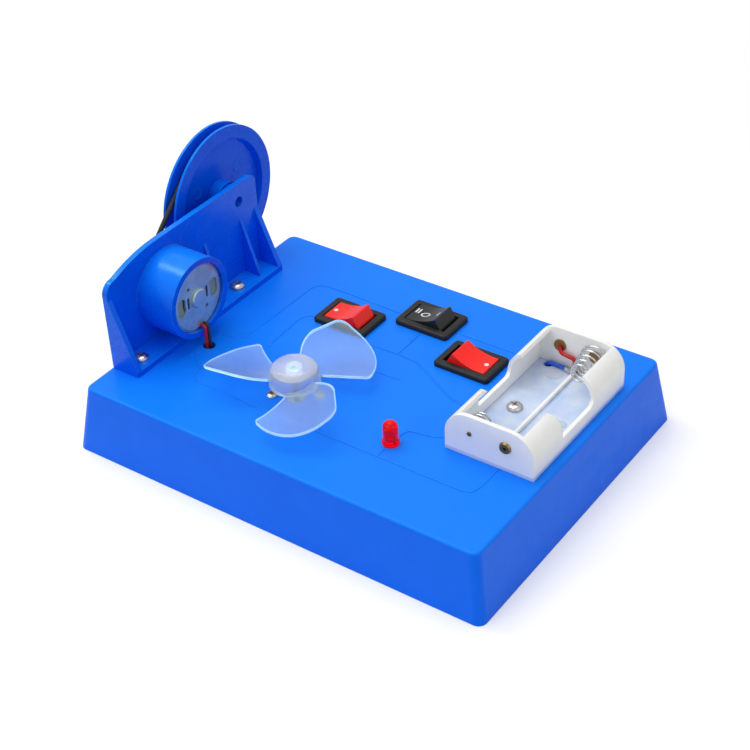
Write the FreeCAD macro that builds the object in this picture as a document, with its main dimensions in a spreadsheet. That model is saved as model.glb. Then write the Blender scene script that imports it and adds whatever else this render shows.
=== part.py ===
import FreeCAD, Part
import Sketcher
import math
import os

# A demonstration electric motor for the classroom. A hollow moulded base carries a flat motor
# that drives a large pulley by a round belt, a second flat motor with a fan, three rocker
# switches, a lamp and a holder for two AA cells.
#
# Frame: the origin is the centre of the base's foot, on the table. +X runs along the base to
# the cell holder, +Y to the back and +Z up. All lengths are millimetres.

SIZES = [
    # base
    ("base_length", 160.0, "base at its foot, along X"),
    ("base_width", 120.0, "base at its foot, along Y"),
    ("base_height", 24.0, "foot to top"),
    ("top_length", 152.5, "base at its top, along X"),
    ("top_width", 113.0, "base at its top, along Y"),
    ("base_wall", 2.2, "wall of the base"),
    ("base_corner", 3.0, "radius of the upright corners"),
    ("top_round", 1.0, "round of the top edge"),
    ("screw_boss_radius", 3.0, "bosses under the top for screws"),
    ("screw_boss_depth", 8.0, "length of those bosses"),
    # motor bracket
    ("plate_inset", 0.7, "bracket plate behind the edge of the top"),
    ("plate_thickness", 2.0, "upright plate"),
    ("plate_near_y", -43.0, "near edge of the plate"),
    ("plate_far_y", 35.3, "far edge of the plate"),
    ("plate_height", 37.2, "plate above the base"),
    ("plate_shoulder", 31.0, "height of the plate's lower near corner"),
    ("plate_slope_y", -17.0, "where the sloping top edge ends"),
    ("plate_bow", 60.0, "radius of the sloping top edge"),
    ("plate_near_round", 4.5, "round of the near corner"),
    ("plate_near_rise", 2.0, "half the height of that round"),
    ("plate_far_round", 3.0, "round of the far corner"),
    ("flange_thickness", 2.0, "foot of the bracket"),
    ("flange_reach", 9.1, "foot in front of the plate"),
    ("gusset_thickness", 2.0, "end walls of the bracket"),
    ("near_gusset_height", 27.0, "near end wall, above the base"),
    ("far_gusset_height", 24.0, "far end wall, above the base"),
    ("rib_thickness", 1.2, "ribs of the bracket"),
    ("rib_height", 23.6, "ribs, above the base"),
    ("rib_reach", 7.1, "ribs, in front of the plate"),
    ("cup_rib_y", 5.8, "rib beside the motor cup"),
    ("cup_y", -15.5, "motor axis"),
    ("cup_height", 18.3, "motor axis above the base"),
    ("cup_wall", 2.1, "wall of the motor cup"),
    ("cup_depth", 15.1, "cup in front of the plate"),
    ("cup_recess", 1.0, "motor behind the rim of the cup"),
    ("cup_notch", 4.0, "width of the lead notch in the cup"),
    ("cup_notch_y", 1.2, "lead notch behind the motor axis"),
    ("cup_notch_depth", 4.0, "length of the lead notch"),
    ("lead_hole_reach", 2.85, "hole in the base, in front of the motor's face"),
    ("lead_hole_side", 0.2, "hole in the base, nearer than the motor axis"),
    ("lead_hole", 2.2, "radius of that hole"),
    ("lead_radius", 0.58, "insulated leads"),
    ("holder_lead_radius", 0.7, "insulated leads of the holder"),
    ("lead_bend", 5.0, "largest bend of a lead"),
    ("lead_approach", 10.0, "last straight run of a lead before its tag"),
    ("lead_start", 1.7, "first straight run of a lead at a motor"),
    ("lead_gap", 1.4, "a pair of leads apart at the motor"),
    ("lead_seat", 11.0, "leads from the motor axis at its face"),
    ("lead_turn", 24.0, "fan leads apart round their motor, degrees"),
    ("holder_lead_bend", 1.6, "bends of the holder's leads"),
    ("cup_clearance", 0.1, "motor in its cup"),
    ("flange_screw_reach", 4.45, "bracket screws in front of the plate"),
    ("near_screw_y", -36.0, "near bracket screw"),
    ("far_screw_y", 15.3, "far bracket screw"),
    # big pulley and belt
    ("pulley_y", 25.6, "pulley axis"),
    ("pulley_height", 30.2, "pulley axis above the base"),
    ("pulley_radius", 26.0, "flanges of the big pulley"),
    ("pulley_width", 5.6, "rim of the big pulley"),
    ("pulley_gap", 4.4, "plate to the pulley's front rim"),
    ("pulley_hub_lead", 1.6, "hub in front of the rim"),
    ("pulley_web", 1.6, "disc of the big pulley"),
    ("pulley_dish", 2.4, "depth of the dish in its face"),
    ("pulley_hub_radius", 6.0, "hub of the big pulley"),
    ("pulley_hub_step", 1.6, "hub beyond the back of the rim"),
    ("groove_radius", 21.2, "bottom of the big groove"),
    ("groove_mouth", 3.8, "width of the groove at the flanges"),
    ("groove_seat_angle", 60.0, "half of the arc that seats the belt, degrees"),
    ("rim_wall", 1.0, "rim under the groove"),
    ("rim_draft", 1.2, "slope of the dish's wall"),
    ("axle_radius", 3.5, "hollow axle on the plate"),
    ("axle_bore", 2.0, "bore of the axle, from the front"),
    ("axle_screw_radius", 1.5, "screw in the axle"),
    ("axle_screw_length", 9.0, "screw in the axle"),
    ("axle_shoulder", 5.2, "radius of the axle's shoulder"),
    ("axle_clearance", 0.08, "pulley on its axle"),
    ("axle_play", 0.3, "end play of the pulley"),
    ("washer_radius", 5.5, "washer behind the pulley"),
    ("washer_thickness", 0.8, "washer behind the pulley"),
    ("belt_radius", 0.9, "half the belt's thickness"),
    ("belt_clearance", 0.15, "belt off the groove bottoms"),
    ("small_groove_radius", 1.6, "bottom of the small groove"),
    ("small_pulley_radius", 3.8, "flanges of the small pulley"),
    ("small_pulley_width", 5.6, "length of the small pulley"),
    # flat motors
    ("motor_radius", 12.2, "steel can"),
    ("motor_length", 12.3, "can with its end cap"),
    ("motor_wall", 0.8, "steel of the can"),
    ("motor_round", 1.2, "drawn edge of the can"),
    ("end_plate", 0.8, "steel end plate"),
    ("brush_card", 1.6, "plastic card that carries the brushes"),
    ("window_pitch", 8.1, "windows from the middle of the end plate"),
    ("window_reach", 6.8, "windows of the end plate"),
    ("window_span", 3.9, "windows of the end plate"),
    ("slot_pitch", 4.7, "slots from the middle of the end plate"),
    ("slot_reach", 4.6, "slots of the end plate"),
    ("slot_span", 1.1, "slots of the end plate"),
    ("vent_x", 5.2, "small holes of the end plate"),
    ("vent_y", 4.0, "small holes of the end plate"),
    ("vent_radius", 0.7, "small holes of the end plate"),
    ("motor_boss_radius", 3.4, "bearing bosses"),
    ("motor_boss_height", 1.1, "bearing bosses"),
    ("shaft_radius", 1.0, "motor shaft"),
    ("bearing_clearance", 0.04, "shaft in its bearings"),
    ("press_gap", 0.02, "parts pressed on the shaft"),
    ("magnet_radius", 11.3, "outside of the ring magnet"),
    ("magnet_wall", 1.6, "ring magnet"),
    ("magnet_length", 7.0, "ring magnet"),
    ("armature_radius", 9.2, "wound armature"),
    ("armature_length", 5.0, "wound armature"),
    ("armature_waist", 3.4, "core between the poles"),
    ("shaft_end", 0.5, "drive shaft beyond its pulley"),
    # fan
    ("fan_x", -14.0, "fan axis"),
    ("fan_y", -23.0, "fan axis"),
    ("fan_height", 9.0, "middle of the hub above the base"),
    ("fan_radius", 29.4, "tip of the blades"),
    ("fan_blade_thickness", 0.9, "blades"),
    ("blade_hollow", 37.0, "radius to which the blades are hollow"),
    ("blade_belly_side", 8.45, "lowest line of a blade beside its axis"),
    ("blade_belly_drop", 3.1, "that line below the middle of the hub"),
    ("blade_root", 18.0, "leading edge where it meets the hub, degrees"),
    ("blade_heel", 48.0, "trailing edge where it meets the hub, degrees"),
    ("fan_angle", 68.4, "direction of the first blade, degrees"),
    ("fan_hub_radius", 8.0, "hub"),
    ("fan_hub_height", 8.1, "hub with its dome"),
    ("fan_hub_wall", 1.0, "wall of the hub"),
    ("fan_hub_drop", 3.4, "hub below its middle"),
    ("fan_hub_flare", 0.5, "skirt of the hub"),
    ("fan_hub_rise", 2.0, "rise of the dome"),
    ("fan_hub_round", 3.2, "edge of the dome"),
    ("fan_boss_radius", 2.4, "boss round the shaft"),
    ("fan_screw_circle", 16.0, "screw circle of a flat motor"),
    ("fan_screw_angle", 30.0, "direction of those screws, degrees"),
    ("fan_shaft_hole", 3.7, "hole in the base for the bearing boss"),
    # rocker switches
    ("switch_length", 21.0, "bezel"),
    ("switch_width", 15.0, "bezel"),
    ("bezel_height", 1.9, "bezel above the base"),
    ("bezel_round", 0.8, "top edge of the bezel"),
    ("bezel_corner", 1.4, "corners of the bezel"),
    ("cutout_length", 19.2, "opening in the base"),
    ("cutout_width", 13.0, "opening in the base"),
    ("cutout_clearance", 0.1, "switch in its opening"),
    ("switch_depth", 11.0, "housing below the top"),
    ("window_length", 16.2, "window for the rocker"),
    ("window_width", 10.2, "window for the rocker"),
    ("switch_floor", 1.2, "floor of the housing"),
    ("rocker_clearance", 0.25, "rocker in its window, each side"),
    ("rocker_axis_depth", 2.2, "rocker pin below the top of the base"),
    ("rocker_tilt", 15.0, "rocker from level, degrees"),
    ("rocker_ridge_x", 6.3, "ridge from the middle"),
    ("rocker_ridge_z", 6.1, "ridge above the pin"),
    ("rocker_dip_z", 5.0, "middle above the pin"),
    ("rocker_foot_x", 7.5, "widest place from the middle"),
    ("rocker_foot_z", 1.5, "widest place above the pin"),
    ("rocker_heel_x", 5.2, "underside of the rocker"),
    ("rocker_heel_z", -2.6, "underside of the rocker"),
    ("rocker_round", 0.5, "ridges of the rocker"),
    ("rocker_pin_radius", 1.2, "hinge pins of the rocker"),
    ("rocker_pin_reach", 0.7, "pins beyond the window"),
    ("pin_clearance", 0.06, "pins in the housing"),
    ("terminal_width", 4.8, "solder tags"),
    ("terminal_thickness", 0.8, "solder tags"),
    ("terminal_length", 5.5, "solder tags below the housing"),
    ("terminal_pitch", 6.6, "solder tags apart"),
    ("terminal_hole", 0.8, "eye of a solder tag"),
    ("side_switch_share", 0.377551, "share of a red switch's spare room on the black one's side"),
    ("side_switch_y", 22.0, "red switches"),
    ("middle_switch_y", 35.6, "black switch"),
    # lamp
    ("lamp_x", 25.8, "lamp"),
    ("lamp_y", -26.6, "lamp"),
    ("lamp_radius", 2.5, "lamp body"),
    ("lamp_height", 8.6, "lamp above the base"),
    ("lamp_rim_radius", 2.9, "rim of the lamp"),
    ("lamp_rim_height", 1.0, "rim of the lamp"),
    ("lamp_hole", 2.0, "hole for the legs"),
    ("leg_width", 0.5, "legs of the lamp"),
    ("leg_pitch", 2.54, "legs apart"),
    ("leg_length", 12.0, "legs below the rim"),
    # holder for two AA cells
    ("holder_inset", 19.1, "middle of the holder from the end of the top"),
    ("holder_y", 9.0, "middle of the holder"),
    ("holder_length", 57.0, "holder along Y"),
    ("cell_pitch", 14.7, "cells apart"),
    ("cell_axis", 6.9, "axis of the cradles above the base"),
    ("cradle_radius", 7.1, "inside of the cradles"),
    ("holder_wall", 1.4, "side walls"),
    ("holder_end_wall", 1.6, "end walls"),
    ("holder_floor", 1.0, "floor"),
    ("ridge_height", 1.4, "ridge between the bays"),
    ("ridge_width", 1.0, "ridge between the bays"),
    ("ridge_gap", 3.5, "gap behind the ridge for the lead"),
    ("cradle_angle", 63.0, "top of the cradles above level, degrees"),
    ("cradle_near", 11.2, "low side before the middle of the holder"),
    ("cradle_far", 8.6, "low side behind the middle of the holder"),
    ("low_side", 5.2, "low side above the base"),
    ("side_round", 2.5, "foot of the step in the side"),
    ("holder_screw_y", 8.0, "screw in the left bay"),
    ("contact_height", 9.0, "rivets above the base"),
    ("contact_pitch", 12.8, "rivets of one end apart"),
    ("contact_offset", -0.5, "middle of the rivets from the middle of the holder"),
    ("contact_thickness", 0.4, "strap between the front contacts"),
    ("contact_width", 7.0, "strap between the front contacts"),
    ("red_exit_x", -0.8, "red lead from the middle of the holder"),
    ("red_exit_inset", 1.1, "red lead in front of the back wall"),
    ("red_exit_radius", 1.0, "hole for the red lead"),
    ("blue_exit_x", -10.4, "blue lead from the middle of the holder"),
    ("blue_exit_inset", 1.6, "blue lead in front of the back wall"),
    ("blue_pass", 2.75, "the same where it passes the red lead"),
    ("blue_exit_radius", 1.5, "hole for the blue lead"),
    ("rivet_radius", 1.1, "shank of the rivets"),
    ("rivet_head", 2.1, "head of the rivets"),
    ("rivet_head_height", 0.7, "head of the rivets"),
    ("rivet_bore", 0.6, "open end of the rivets"),
    ("pin_radius", 0.7, "pin that holds the front spring"),
    ("spring_wire", 0.3, "half the wire of the springs"),
    ("spring_base", 4.6, "spring at the wall"),
    ("spring_tip", 2.6, "spring at its free end"),
    ("spring_length", 11.5, "free length of the back spring"),
    ("spring_turns", 5.0, "turns of the back spring"),
    ("front_spring_length", 6.0, "free length of the front spring"),
    ("front_spring_turns", 3.0, "turns of the front spring"),
    # screws
    ("pan_head_radius", 2.6, "bracket and holder screws"),
    ("pan_head_height", 1.7, "bracket and holder screws"),
    ("pan_shank_radius", 1.4, "bracket and holder screws"),
    ("pan_shank_length", 8.0, "bracket and holder screws"),
    ("small_head_radius", 1.8, "fan motor screws"),
    ("small_head_height", 1.1, "fan motor screws"),
    ("small_shank_radius", 0.9, "fan motor screws"),
    ("recess_width", 0.6, "cross recess"),
    ("recess_depth", 0.8, "cross recess"),
    ("screw_clearance", 0.15, "screws in their holes"),
]


class Measure:
    """A number together with the sheet formula that gives it."""

    def __init__(self, number, text):
        self.number = number
        self.text = text

    def __add__(self, other):
        other = measure(other)
        return Measure(self.number + other.number, "(%s + %s)" % (self.text, other.text))

    def __sub__(self, other):
        other = measure(other)
        return Measure(self.number - other.number, "(%s - %s)" % (self.text, other.text))

    def __mul__(self, other):
        other = measure(other)
        return Measure(self.number * other.number, "(%s * %s)" % (self.text, other.text))

    def __truediv__(self, other):
        other = measure(other)
        return Measure(self.number / other.number, "(%s / %s)" % (self.text, other.text))

    def __neg__(self):
        return Measure(-self.number, "(0 - %s)" % self.text)

    def __radd__(self, other):
        return measure(other) + self

    def __rsub__(self, other):
        return measure(other) - self

    def __rmul__(self, other):
        return measure(other) * self


def measure(value):
    """A plain number as a Measure."""
    if isinstance(value, Measure):
        return value
    return Measure(float(value), "(%r)" % float(value))


def sine(angle):
    """The sine of an angle in degrees."""
    return Measure(math.sin(math.radians(angle.number)), "sin(%s)" % angle.text)


def cosine(angle):
    """The cosine of an angle in degrees."""
    return Measure(math.cos(math.radians(angle.number)), "cos(%s)" % angle.text)


def arctangent(rise, run):
    """The angle in degrees of a slope."""
    angle = math.degrees(math.atan2(rise.number, run.number))
    return Measure(angle, "atan2(%s; %s)" % (rise.text, run.text))


def root(value):
    """The square root."""
    return Measure(math.sqrt(value.number), "sqrt(%s)" % value.text)


def third_side(longest, other):
    """The remaining side of a right-angled triangle."""
    return root(longest * longest - other * other)


def between(start, end, share):
    """The coordinate that lies at a share of the way from start to end."""
    return start + (measure(end) - start) * share


document = FreeCAD.newDocument("DemonstrationMotor")


class SizeTable:
    """The driving dimensions: one row of the sheet for each, with its name as the alias."""


def fill_sheet():
    """Write the sheet and give each size back under its name."""
    sheet = document.addObject("Spreadsheet::Sheet", "Sizes")
    table = SizeTable()
    for row, (alias, value, meaning) in enumerate(SIZES, start=1):
        sheet.set("A%d" % row, alias)
        sheet.set("B%d" % row, repr(value))
        sheet.set("C%d" % row, meaning)
        sheet.setAlias("B%d" % row, alias)
        setattr(table, alias, Measure(value, "Sizes." + alias))
    return table


size = fill_sheet()
document.recompute()
pieces = []


# ---------------------------------------------------------------- helpers for every piece

def bind(target, path, value):
    """Drive one property by a formula of the sheet."""
    value = measure(value)
    setattr(target, path, value.number)
    target.setExpression(path, value.text)


def put(target, x, y, z, turn=None, angle=None, path="Placement"):
    """Place an object by three formulas and a turn, whose angle may be a formula too."""
    where = [measure(x), measure(y), measure(z)]
    corner = FreeCAD.Vector(*[value.number for value in where])
    setattr(target, path, FreeCAD.Placement(corner, turn or FreeCAD.Rotation()))
    for axis, value in zip("xyz", where):
        target.setExpression(path + ".Base." + axis, value.text)
    if angle is not None:
        target.setExpression(path + ".Rotation.Angle", measure(angle).text)


def turned(axis, degrees):
    """A rotation about X, Y or Z."""
    direction = {"X": (1, 0, 0), "Y": (0, 1, 0), "Z": (0, 0, 1)}[axis]
    return FreeCAD.Rotation(FreeCAD.Vector(*direction), degrees)


def keep(piece, name):
    """Make an object the node of that name."""
    piece.Label = name
    pieces.append(piece)
    return piece


def new_body(name):
    """A PartDesign body that becomes the node of that name."""
    return keep(document.addObject("PartDesign::Body", name), name)


def sketch_on(body, plane, raised=0, x=0, y=0, turn=None, angle=None):
    """A sketch on an origin plane of the body, raised along its normal, shifted or turned."""
    sketch = body.newObject("Sketcher::SketchObject", body.Name + "_sketch")
    base_plane = [f for f in body.Origin.OriginFeatures if f.Role == plane][0]
    sketch.AttachmentSupport = [(base_plane, "")]
    sketch.MapMode = "FlatFace"
    put(sketch, x, y, raised, turn, angle, "AttachmentOffset")
    return sketch


def pin(sketch, edge, end, x, y):
    """Hold a point of an edge at two distances from the sketch's origin."""
    for axis, value in (("X", measure(x)), ("Y", measure(y))):
        rule = Sketcher.Constraint("Distance" + axis, -1, 1, edge, end, value.number)
        index = sketch.addConstraint(rule)
        sketch.setExpression("Constraints[%d]" % index, value.text)


def hold_radius(sketch, edge, radius):
    """Hold the radius of an arc or a circle."""
    radius = measure(radius)
    index = sketch.addConstraint(Sketcher.Constraint("Radius", edge, radius.number))
    sketch.setExpression("Constraints[%d]" % index, radius.text)


def circle(sketch, x, y, radius):
    """A circle, held by its centre and radius."""
    middle = FreeCAD.Vector(measure(x).number, measure(y).number, 0)
    ring = Part.Circle(middle, FreeCAD.Vector(0, 0, 1), measure(radius).number)
    edge = sketch.addGeometry(ring, False)
    pin(sketch, edge, 3, x, y)
    hold_radius(sketch, edge, radius)


def arc_between(start, end, radius):
    """The shorter arc from start to end. A positive radius turns left, a negative one right."""
    chord = end - start
    middle = (start + end) / 2
    rise = math.sqrt(max(radius * radius - chord.Length * chord.Length / 4, 0.0))
    left = FreeCAD.Vector(-chord.y, chord.x, 0) / chord.Length
    centre = middle + left * math.copysign(rise, radius)
    outward = (middle - centre)
    if outward.Length < 1e-9:
        outward = left * -math.copysign(1.0, radius)
    crown = centre + outward / outward.Length * abs(radius)
    return Part.Arc(start, crown, end)


def profile(sketch, path):
    """A closed outline. Each item is a corner (x, y) or (x, y, radius), and a radius makes the
    edge that leaves this corner an arc, turning left if positive and right if negative."""
    first = sketch.GeometryCount
    corners = [FreeCAD.Vector(measure(p[0]).number, measure(p[1]).number, 0) for p in path]
    count = len(path)
    for index, item in enumerate(path):
        start = corners[index]
        end = corners[(index + 1) % count]
        if len(item) == 3:
            edge = arc_between(start, end, measure(item[2]).number)
            sketch.addGeometry(edge, False)
        else:
            sketch.addGeometry(Part.LineSegment(start, end), False)
    ends = []
    for index, item in enumerate(path):
        flipped = len(item) == 3 and measure(item[2]).number < 0
        ends.append((2, 1) if flipped else (1, 2))
    joints = []
    for index in range(count):
        after = (index + 1) % count
        joints.append(Sketcher.Constraint("Coincident", first + index, ends[index][1],
                                          first + after, ends[after][0]))
    sketch.addConstraint(joints)
    for index, item in enumerate(path):
        pin(sketch, first + index, ends[index][0], item[0], item[1])
    for index, item in enumerate(path):
        if len(item) == 3:
            radius = measure(item[2])
            hold_radius(sketch, first + index, radius if radius.number > 0 else -radius)


def rectangle(sketch, x, y, length, width):
    """A rectangle about a centre."""
    west, east = measure(x) - length / 2, measure(x) + length / 2
    south, north = measure(y) - width / 2, measure(y) + width / 2
    profile(sketch, [(west, south), (east, south), (east, north), (west, north)])


def rounded_rectangle(sketch, x, y, length, width, radius):
    """A rectangle about a centre with rounded corners."""
    west, east = measure(x) - length / 2, measure(x) + length / 2
    south, north = measure(y) - width / 2, measure(y) + width / 2
    profile(sketch, [(west + radius, south), (east - radius, south, radius),
                     (east, south + radius), (east, north - radius, radius),
                     (east - radius, north), (west + radius, north, radius),
                     (west, north - radius), (west, south + radius, radius)])


def pad(body, sketch, length, back=False, centred=False):
    """Pad a sketch along its normal, or against it."""
    feature = body.newObject("PartDesign::Pad", body.Name + "_pad")
    feature.Profile = sketch
    bind(feature, "Length", length)
    feature.Reversed = back
    feature.Midplane = centred
    return feature


def pocket(body, sketch, depth, back=False, centred=False):
    """Cut a sketch out of the body, against its normal, or along it when back is set."""
    feature = body.newObject("PartDesign::Pocket", body.Name + "_pocket")
    feature.Profile = sketch
    bind(feature, "Length", depth)
    feature.Reversed = back
    feature.Midplane = centred
    return feature


def revolve(body, sketch, cut=False):
    """Turn a sketch about its own vertical axis, as added or as cut material."""
    kind = "Groove" if cut else "Revolution"
    feature = body.newObject("PartDesign::" + kind, body.Name + "_" + kind.lower())
    feature.Profile = sketch
    feature.ReferenceAxis = (sketch, ["V_Axis"])
    feature.Angle = 360.0
    return feature


def polar(body, originals, count):
    """Repeat features about the body's Z axis."""
    pattern = body.newObject("PartDesign::PolarPattern", body.Name + "_pattern")
    pattern.Originals = originals
    axis = [f for f in body.Origin.OriginFeatures if f.Role == "Z_Axis"][0]
    pattern.Axis = (axis, [""])
    pattern.Angle = 360.0
    pattern.Occurrences = count
    body.Tip = pattern
    return pattern


def round_edges(body, radius, wanted):
    """Fillet every edge of the body's last feature for which wanted(edge) holds."""
    document.recompute()
    last = body.Tip
    names = ["Edge%d" % n for n, edge in enumerate(last.Shape.Edges, start=1) if wanted(edge)]
    feature = body.newObject("PartDesign::Fillet", body.Name + "_fillet")
    feature.Base = (last, names)
    bind(feature, "Radius", radius)
    return feature


def near(value, target):
    """Whether a coordinate lies at a size, within a rounding error."""
    return abs(value - measure(target).number) < 1e-4


def level_at(edge, height):
    """Whether an edge lies flat at a height."""
    return near(edge.BoundBox.ZMin, height) and near(edge.BoundBox.ZMax, height)


def group(name, solids):
    """Like solids that stay apart but share one node."""
    compound = document.addObject("Part::Compound", name)
    compound.Links = solids
    return keep(compound, name)


def hole(body, plane, raised, spots, radius, depth, back=False, centred=False):
    """Round holes of one radius from a plane of the body."""
    sketch = sketch_on(body, plane, raised)
    for x, y in spots:
        circle(sketch, x, y, radius)
    return pocket(body, sketch, depth, back, centred)


top = size.base_height
plate_back = size.plate_inset - size.top_length / 2
plate_front = plate_back + size.plate_thickness
cup_z = top + size.cup_height
pulley_z = top + size.pulley_height
flange_front = plate_front + size.flange_reach
cup_front = plate_front + size.cup_depth
motor_face = cup_front - size.cup_recess
lead_hole_x = motor_face + size.lead_hole_reach
lead_hole_y = size.cup_y - size.lead_hole_side
holder_x = size.top_length / 2 - size.holder_inset
holder_side = holder_x - size.cell_pitch / 2 - size.cradle_radius - size.holder_wall
side_switch_x = between(size.switch_length, holder_side - size.switch_length / 2,
                        size.side_switch_share)
inside_length = size.holder_length - size.holder_end_wall * 2

# ---------------------------------------------------------------- base
# A box without a floor, moulded in one piece with slightly leaning walls. It stands on its rim.
# The parts on top pass their shafts, legs and leads through holes, and screws bite in bosses
# under the top.

base_shell = new_body("base_shell")
for kind, inset, floor in (("AdditiveLoft", measure(0), measure(0)),
                           ("SubtractiveLoft", size.base_wall, size.base_wall)):
    sections = []
    for height, length, width in ((measure(0), size.base_length, size.base_width),
                                  (top - floor, size.top_length, size.top_width)):
        section = sketch_on(base_shell, "XY_Plane", height)
        corner = size.base_corner - inset / 2
        rounded_rectangle(section, 0, 0, length - inset * 2, width - inset * 2, corner)
        sections.append(section)
    loft = base_shell.newObject("PartDesign::" + kind, "base_" + kind.lower())
    loft.Profile = sections[0]
    loft.Sections = [sections[1]]
    loft.Ruled = True
round_edges(base_shell, size.top_round, lambda edge: level_at(edge, top))

# bosses under the top, and the pilot holes for their screws
fan_screw_spots = []
for sign in (1, -1):
    reach = size.fan_screw_circle / 2 * sign
    fan_screw_spots.append((size.fan_x + reach * cosine(size.fan_screw_angle),
                            size.fan_y + reach * sine(size.fan_screw_angle)))
flange_screw_x = plate_front + size.flange_screw_reach
bracket_screw_spots = [(flange_screw_x, size.near_screw_y), (flange_screw_x, size.far_screw_y)]
holder_screw_x = holder_x - size.cell_pitch / 2
boss_spots = bracket_screw_spots + [(holder_screw_x, size.holder_screw_y)]
bosses = sketch_on(base_shell, "XY_Plane", top - size.screw_boss_depth)
for x, y in boss_spots:
    circle(bosses, x, y, size.screw_boss_radius)
pad(base_shell, bosses, size.screw_boss_depth - size.base_wall / 2)
hole(base_shell, "XY_Plane", top, boss_spots, size.pan_shank_radius + size.press_gap,
     size.screw_boss_depth)

# openings in the top
switches = sketch_on(base_shell, "XY_Plane", top)
switch_spots = {"left_switch": (-side_switch_x, size.side_switch_y),
                "middle_switch": (measure(0), size.middle_switch_y),
                "right_switch": (side_switch_x, size.side_switch_y)}
for x, y in switch_spots.values():
    rectangle(switches, x, y, size.cutout_length, size.cutout_width)
pocket(base_shell, switches, size.base_wall * 2)
hole(base_shell, "XY_Plane", top, [(size.fan_x, size.fan_y)], size.fan_shaft_hole,
     size.base_wall * 2)
hole(base_shell, "XY_Plane", top, fan_screw_spots, size.small_shank_radius
     + size.screw_clearance, size.base_wall * 2)
hole(base_shell, "XY_Plane", top, [(size.lamp_x, size.lamp_y)], size.lamp_hole,
     size.base_wall * 2)
hole(base_shell, "XY_Plane", top, [(lead_hole_x, lead_hole_y)], size.lead_hole,
     size.base_wall * 2)
exits = [(size.red_exit_x, inside_length / 2 - size.red_exit_inset, size.red_exit_radius),
         (size.blue_exit_x, inside_length / 2 - size.blue_exit_inset, size.blue_exit_radius)]
for x, y, radius in exits:
    hole(base_shell, "XY_Plane", top, [(holder_x + x, size.holder_y + y)], radius,
         size.base_wall * 2)

# ---------------------------------------------------------------- motor bracket
# One moulding: a plate on a foot, stiffened by end walls and ribs, with a cup that grips the
# motor and a hollow axle for the big pulley.

bracket = new_body("motor_bracket")
plate = sketch_on(bracket, "YZ_Plane", plate_back)
plate_top = top + size.plate_height
shoulder = top + size.plate_shoulder
profile(plate, [
    (size.plate_near_y, top),
    (size.plate_far_y, top),
    (size.plate_far_y, plate_top - size.plate_far_round, size.plate_far_round),
    (size.plate_far_y - size.plate_far_round, plate_top),
    (size.plate_slope_y, plate_top, size.plate_bow),
    (size.plate_near_y + size.plate_near_round, shoulder + size.plate_near_rise,
     size.plate_near_round),
    (size.plate_near_y, shoulder - size.plate_near_rise)])
pad(bracket, plate, size.plate_thickness)

foot = sketch_on(bracket, "XY_Plane", top)
profile(foot, [(plate_back, size.plate_near_y), (flange_front, size.plate_near_y),
               (flange_front, size.plate_far_y), (plate_back, size.plate_far_y)])
pad(bracket, foot, size.flange_thickness)

near_wall = (size.plate_near_y + size.gusset_thickness, size.gusset_thickness,
             size.near_gusset_height, flange_front)
far_wall = (size.plate_far_y, size.gusset_thickness, size.far_gusset_height, flange_front)
rib_front = plate_front + size.rib_reach
cup_rib = (size.cup_rib_y + size.rib_thickness / 2, size.rib_thickness, size.rib_height,
           rib_front)
axle_rib = (size.pulley_y + size.rib_thickness / 2, size.rib_thickness, size.rib_height,
            rib_front)
for far_face, thickness, height, reach in (near_wall, far_wall, cup_rib, axle_rib):
    web = sketch_on(bracket, "XZ_Plane", -far_face)
    profile(web, [(plate_back + size.plate_thickness / 2, top), (reach, top),
                  (reach, top + size.flange_thickness), (plate_front, top + height),
                  (plate_back + size.plate_thickness / 2, top + height)])
    pad(bracket, web, thickness)

cup = sketch_on(bracket, "YZ_Plane", plate_front)
circle(cup, size.cup_y, cup_z, size.motor_radius + size.cup_clearance + size.cup_wall)
pad(bracket, cup, size.cup_depth)
bore = sketch_on(bracket, "YZ_Plane", cup_front)
circle(bore, size.cup_y, cup_z, size.motor_radius + size.cup_clearance)
pocket(bracket, bore, size.cup_recess + size.motor_length)
notch = sketch_on(bracket, "YZ_Plane", cup_front)
rectangle(notch, size.cup_y + size.cup_notch_y,
          cup_z - size.motor_radius - size.cup_wall / 2,
          size.cup_notch, size.cup_wall * 3)
pocket(bracket, notch, size.cup_notch_depth)
hole(bracket, "YZ_Plane", motor_face - size.motor_length / 2, [(size.cup_y, cup_z)],
     size.motor_boss_radius + size.screw_clearance, size.motor_length)

# hollow axle: a shoulder that spaces the pulley from the plate, then the journal
hub_front = size.pulley_gap - size.pulley_hub_lead
shoulder_length = hub_front - size.axle_play / 2
hub_length = size.pulley_width + size.pulley_hub_lead + size.pulley_hub_step
journal_length = hub_length + size.axle_play
for radius, length in ((size.axle_shoulder, shoulder_length),
                       (size.axle_radius, shoulder_length + journal_length)):
    axle = sketch_on(bracket, "YZ_Plane", plate_back)
    circle(axle, size.pulley_y, pulley_z, radius)
    pad(bracket, axle, length, back=True)
axle_end = plate_back - shoulder_length - journal_length
hole(bracket, "YZ_Plane", plate_front, [(size.pulley_y, pulley_z)], size.axle_bore,
     size.plate_thickness + shoulder_length + journal_length / 4)
hole(bracket, "YZ_Plane", plate_front, [(size.pulley_y, pulley_z)],
     size.axle_screw_radius + size.press_gap,
     size.plate_thickness + shoulder_length + journal_length)
hole(bracket, "XY_Plane", top + size.flange_thickness, bracket_screw_spots,
     size.pan_shank_radius + size.screw_clearance, size.flange_thickness)

# ---------------------------------------------------------------- big pulley, washer and belt
# The pulley turns about its own Z axis, from the rim's front face at 0 to its back.

outward = turned("Y", -90)
pulley_front = plate_back - size.pulley_gap
middle = size.pulley_width / 2
belt_track = size.belt_radius + size.belt_clearance
dish_floor = size.pulley_dish
rim_inside = size.groove_radius - size.rim_wall


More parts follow.
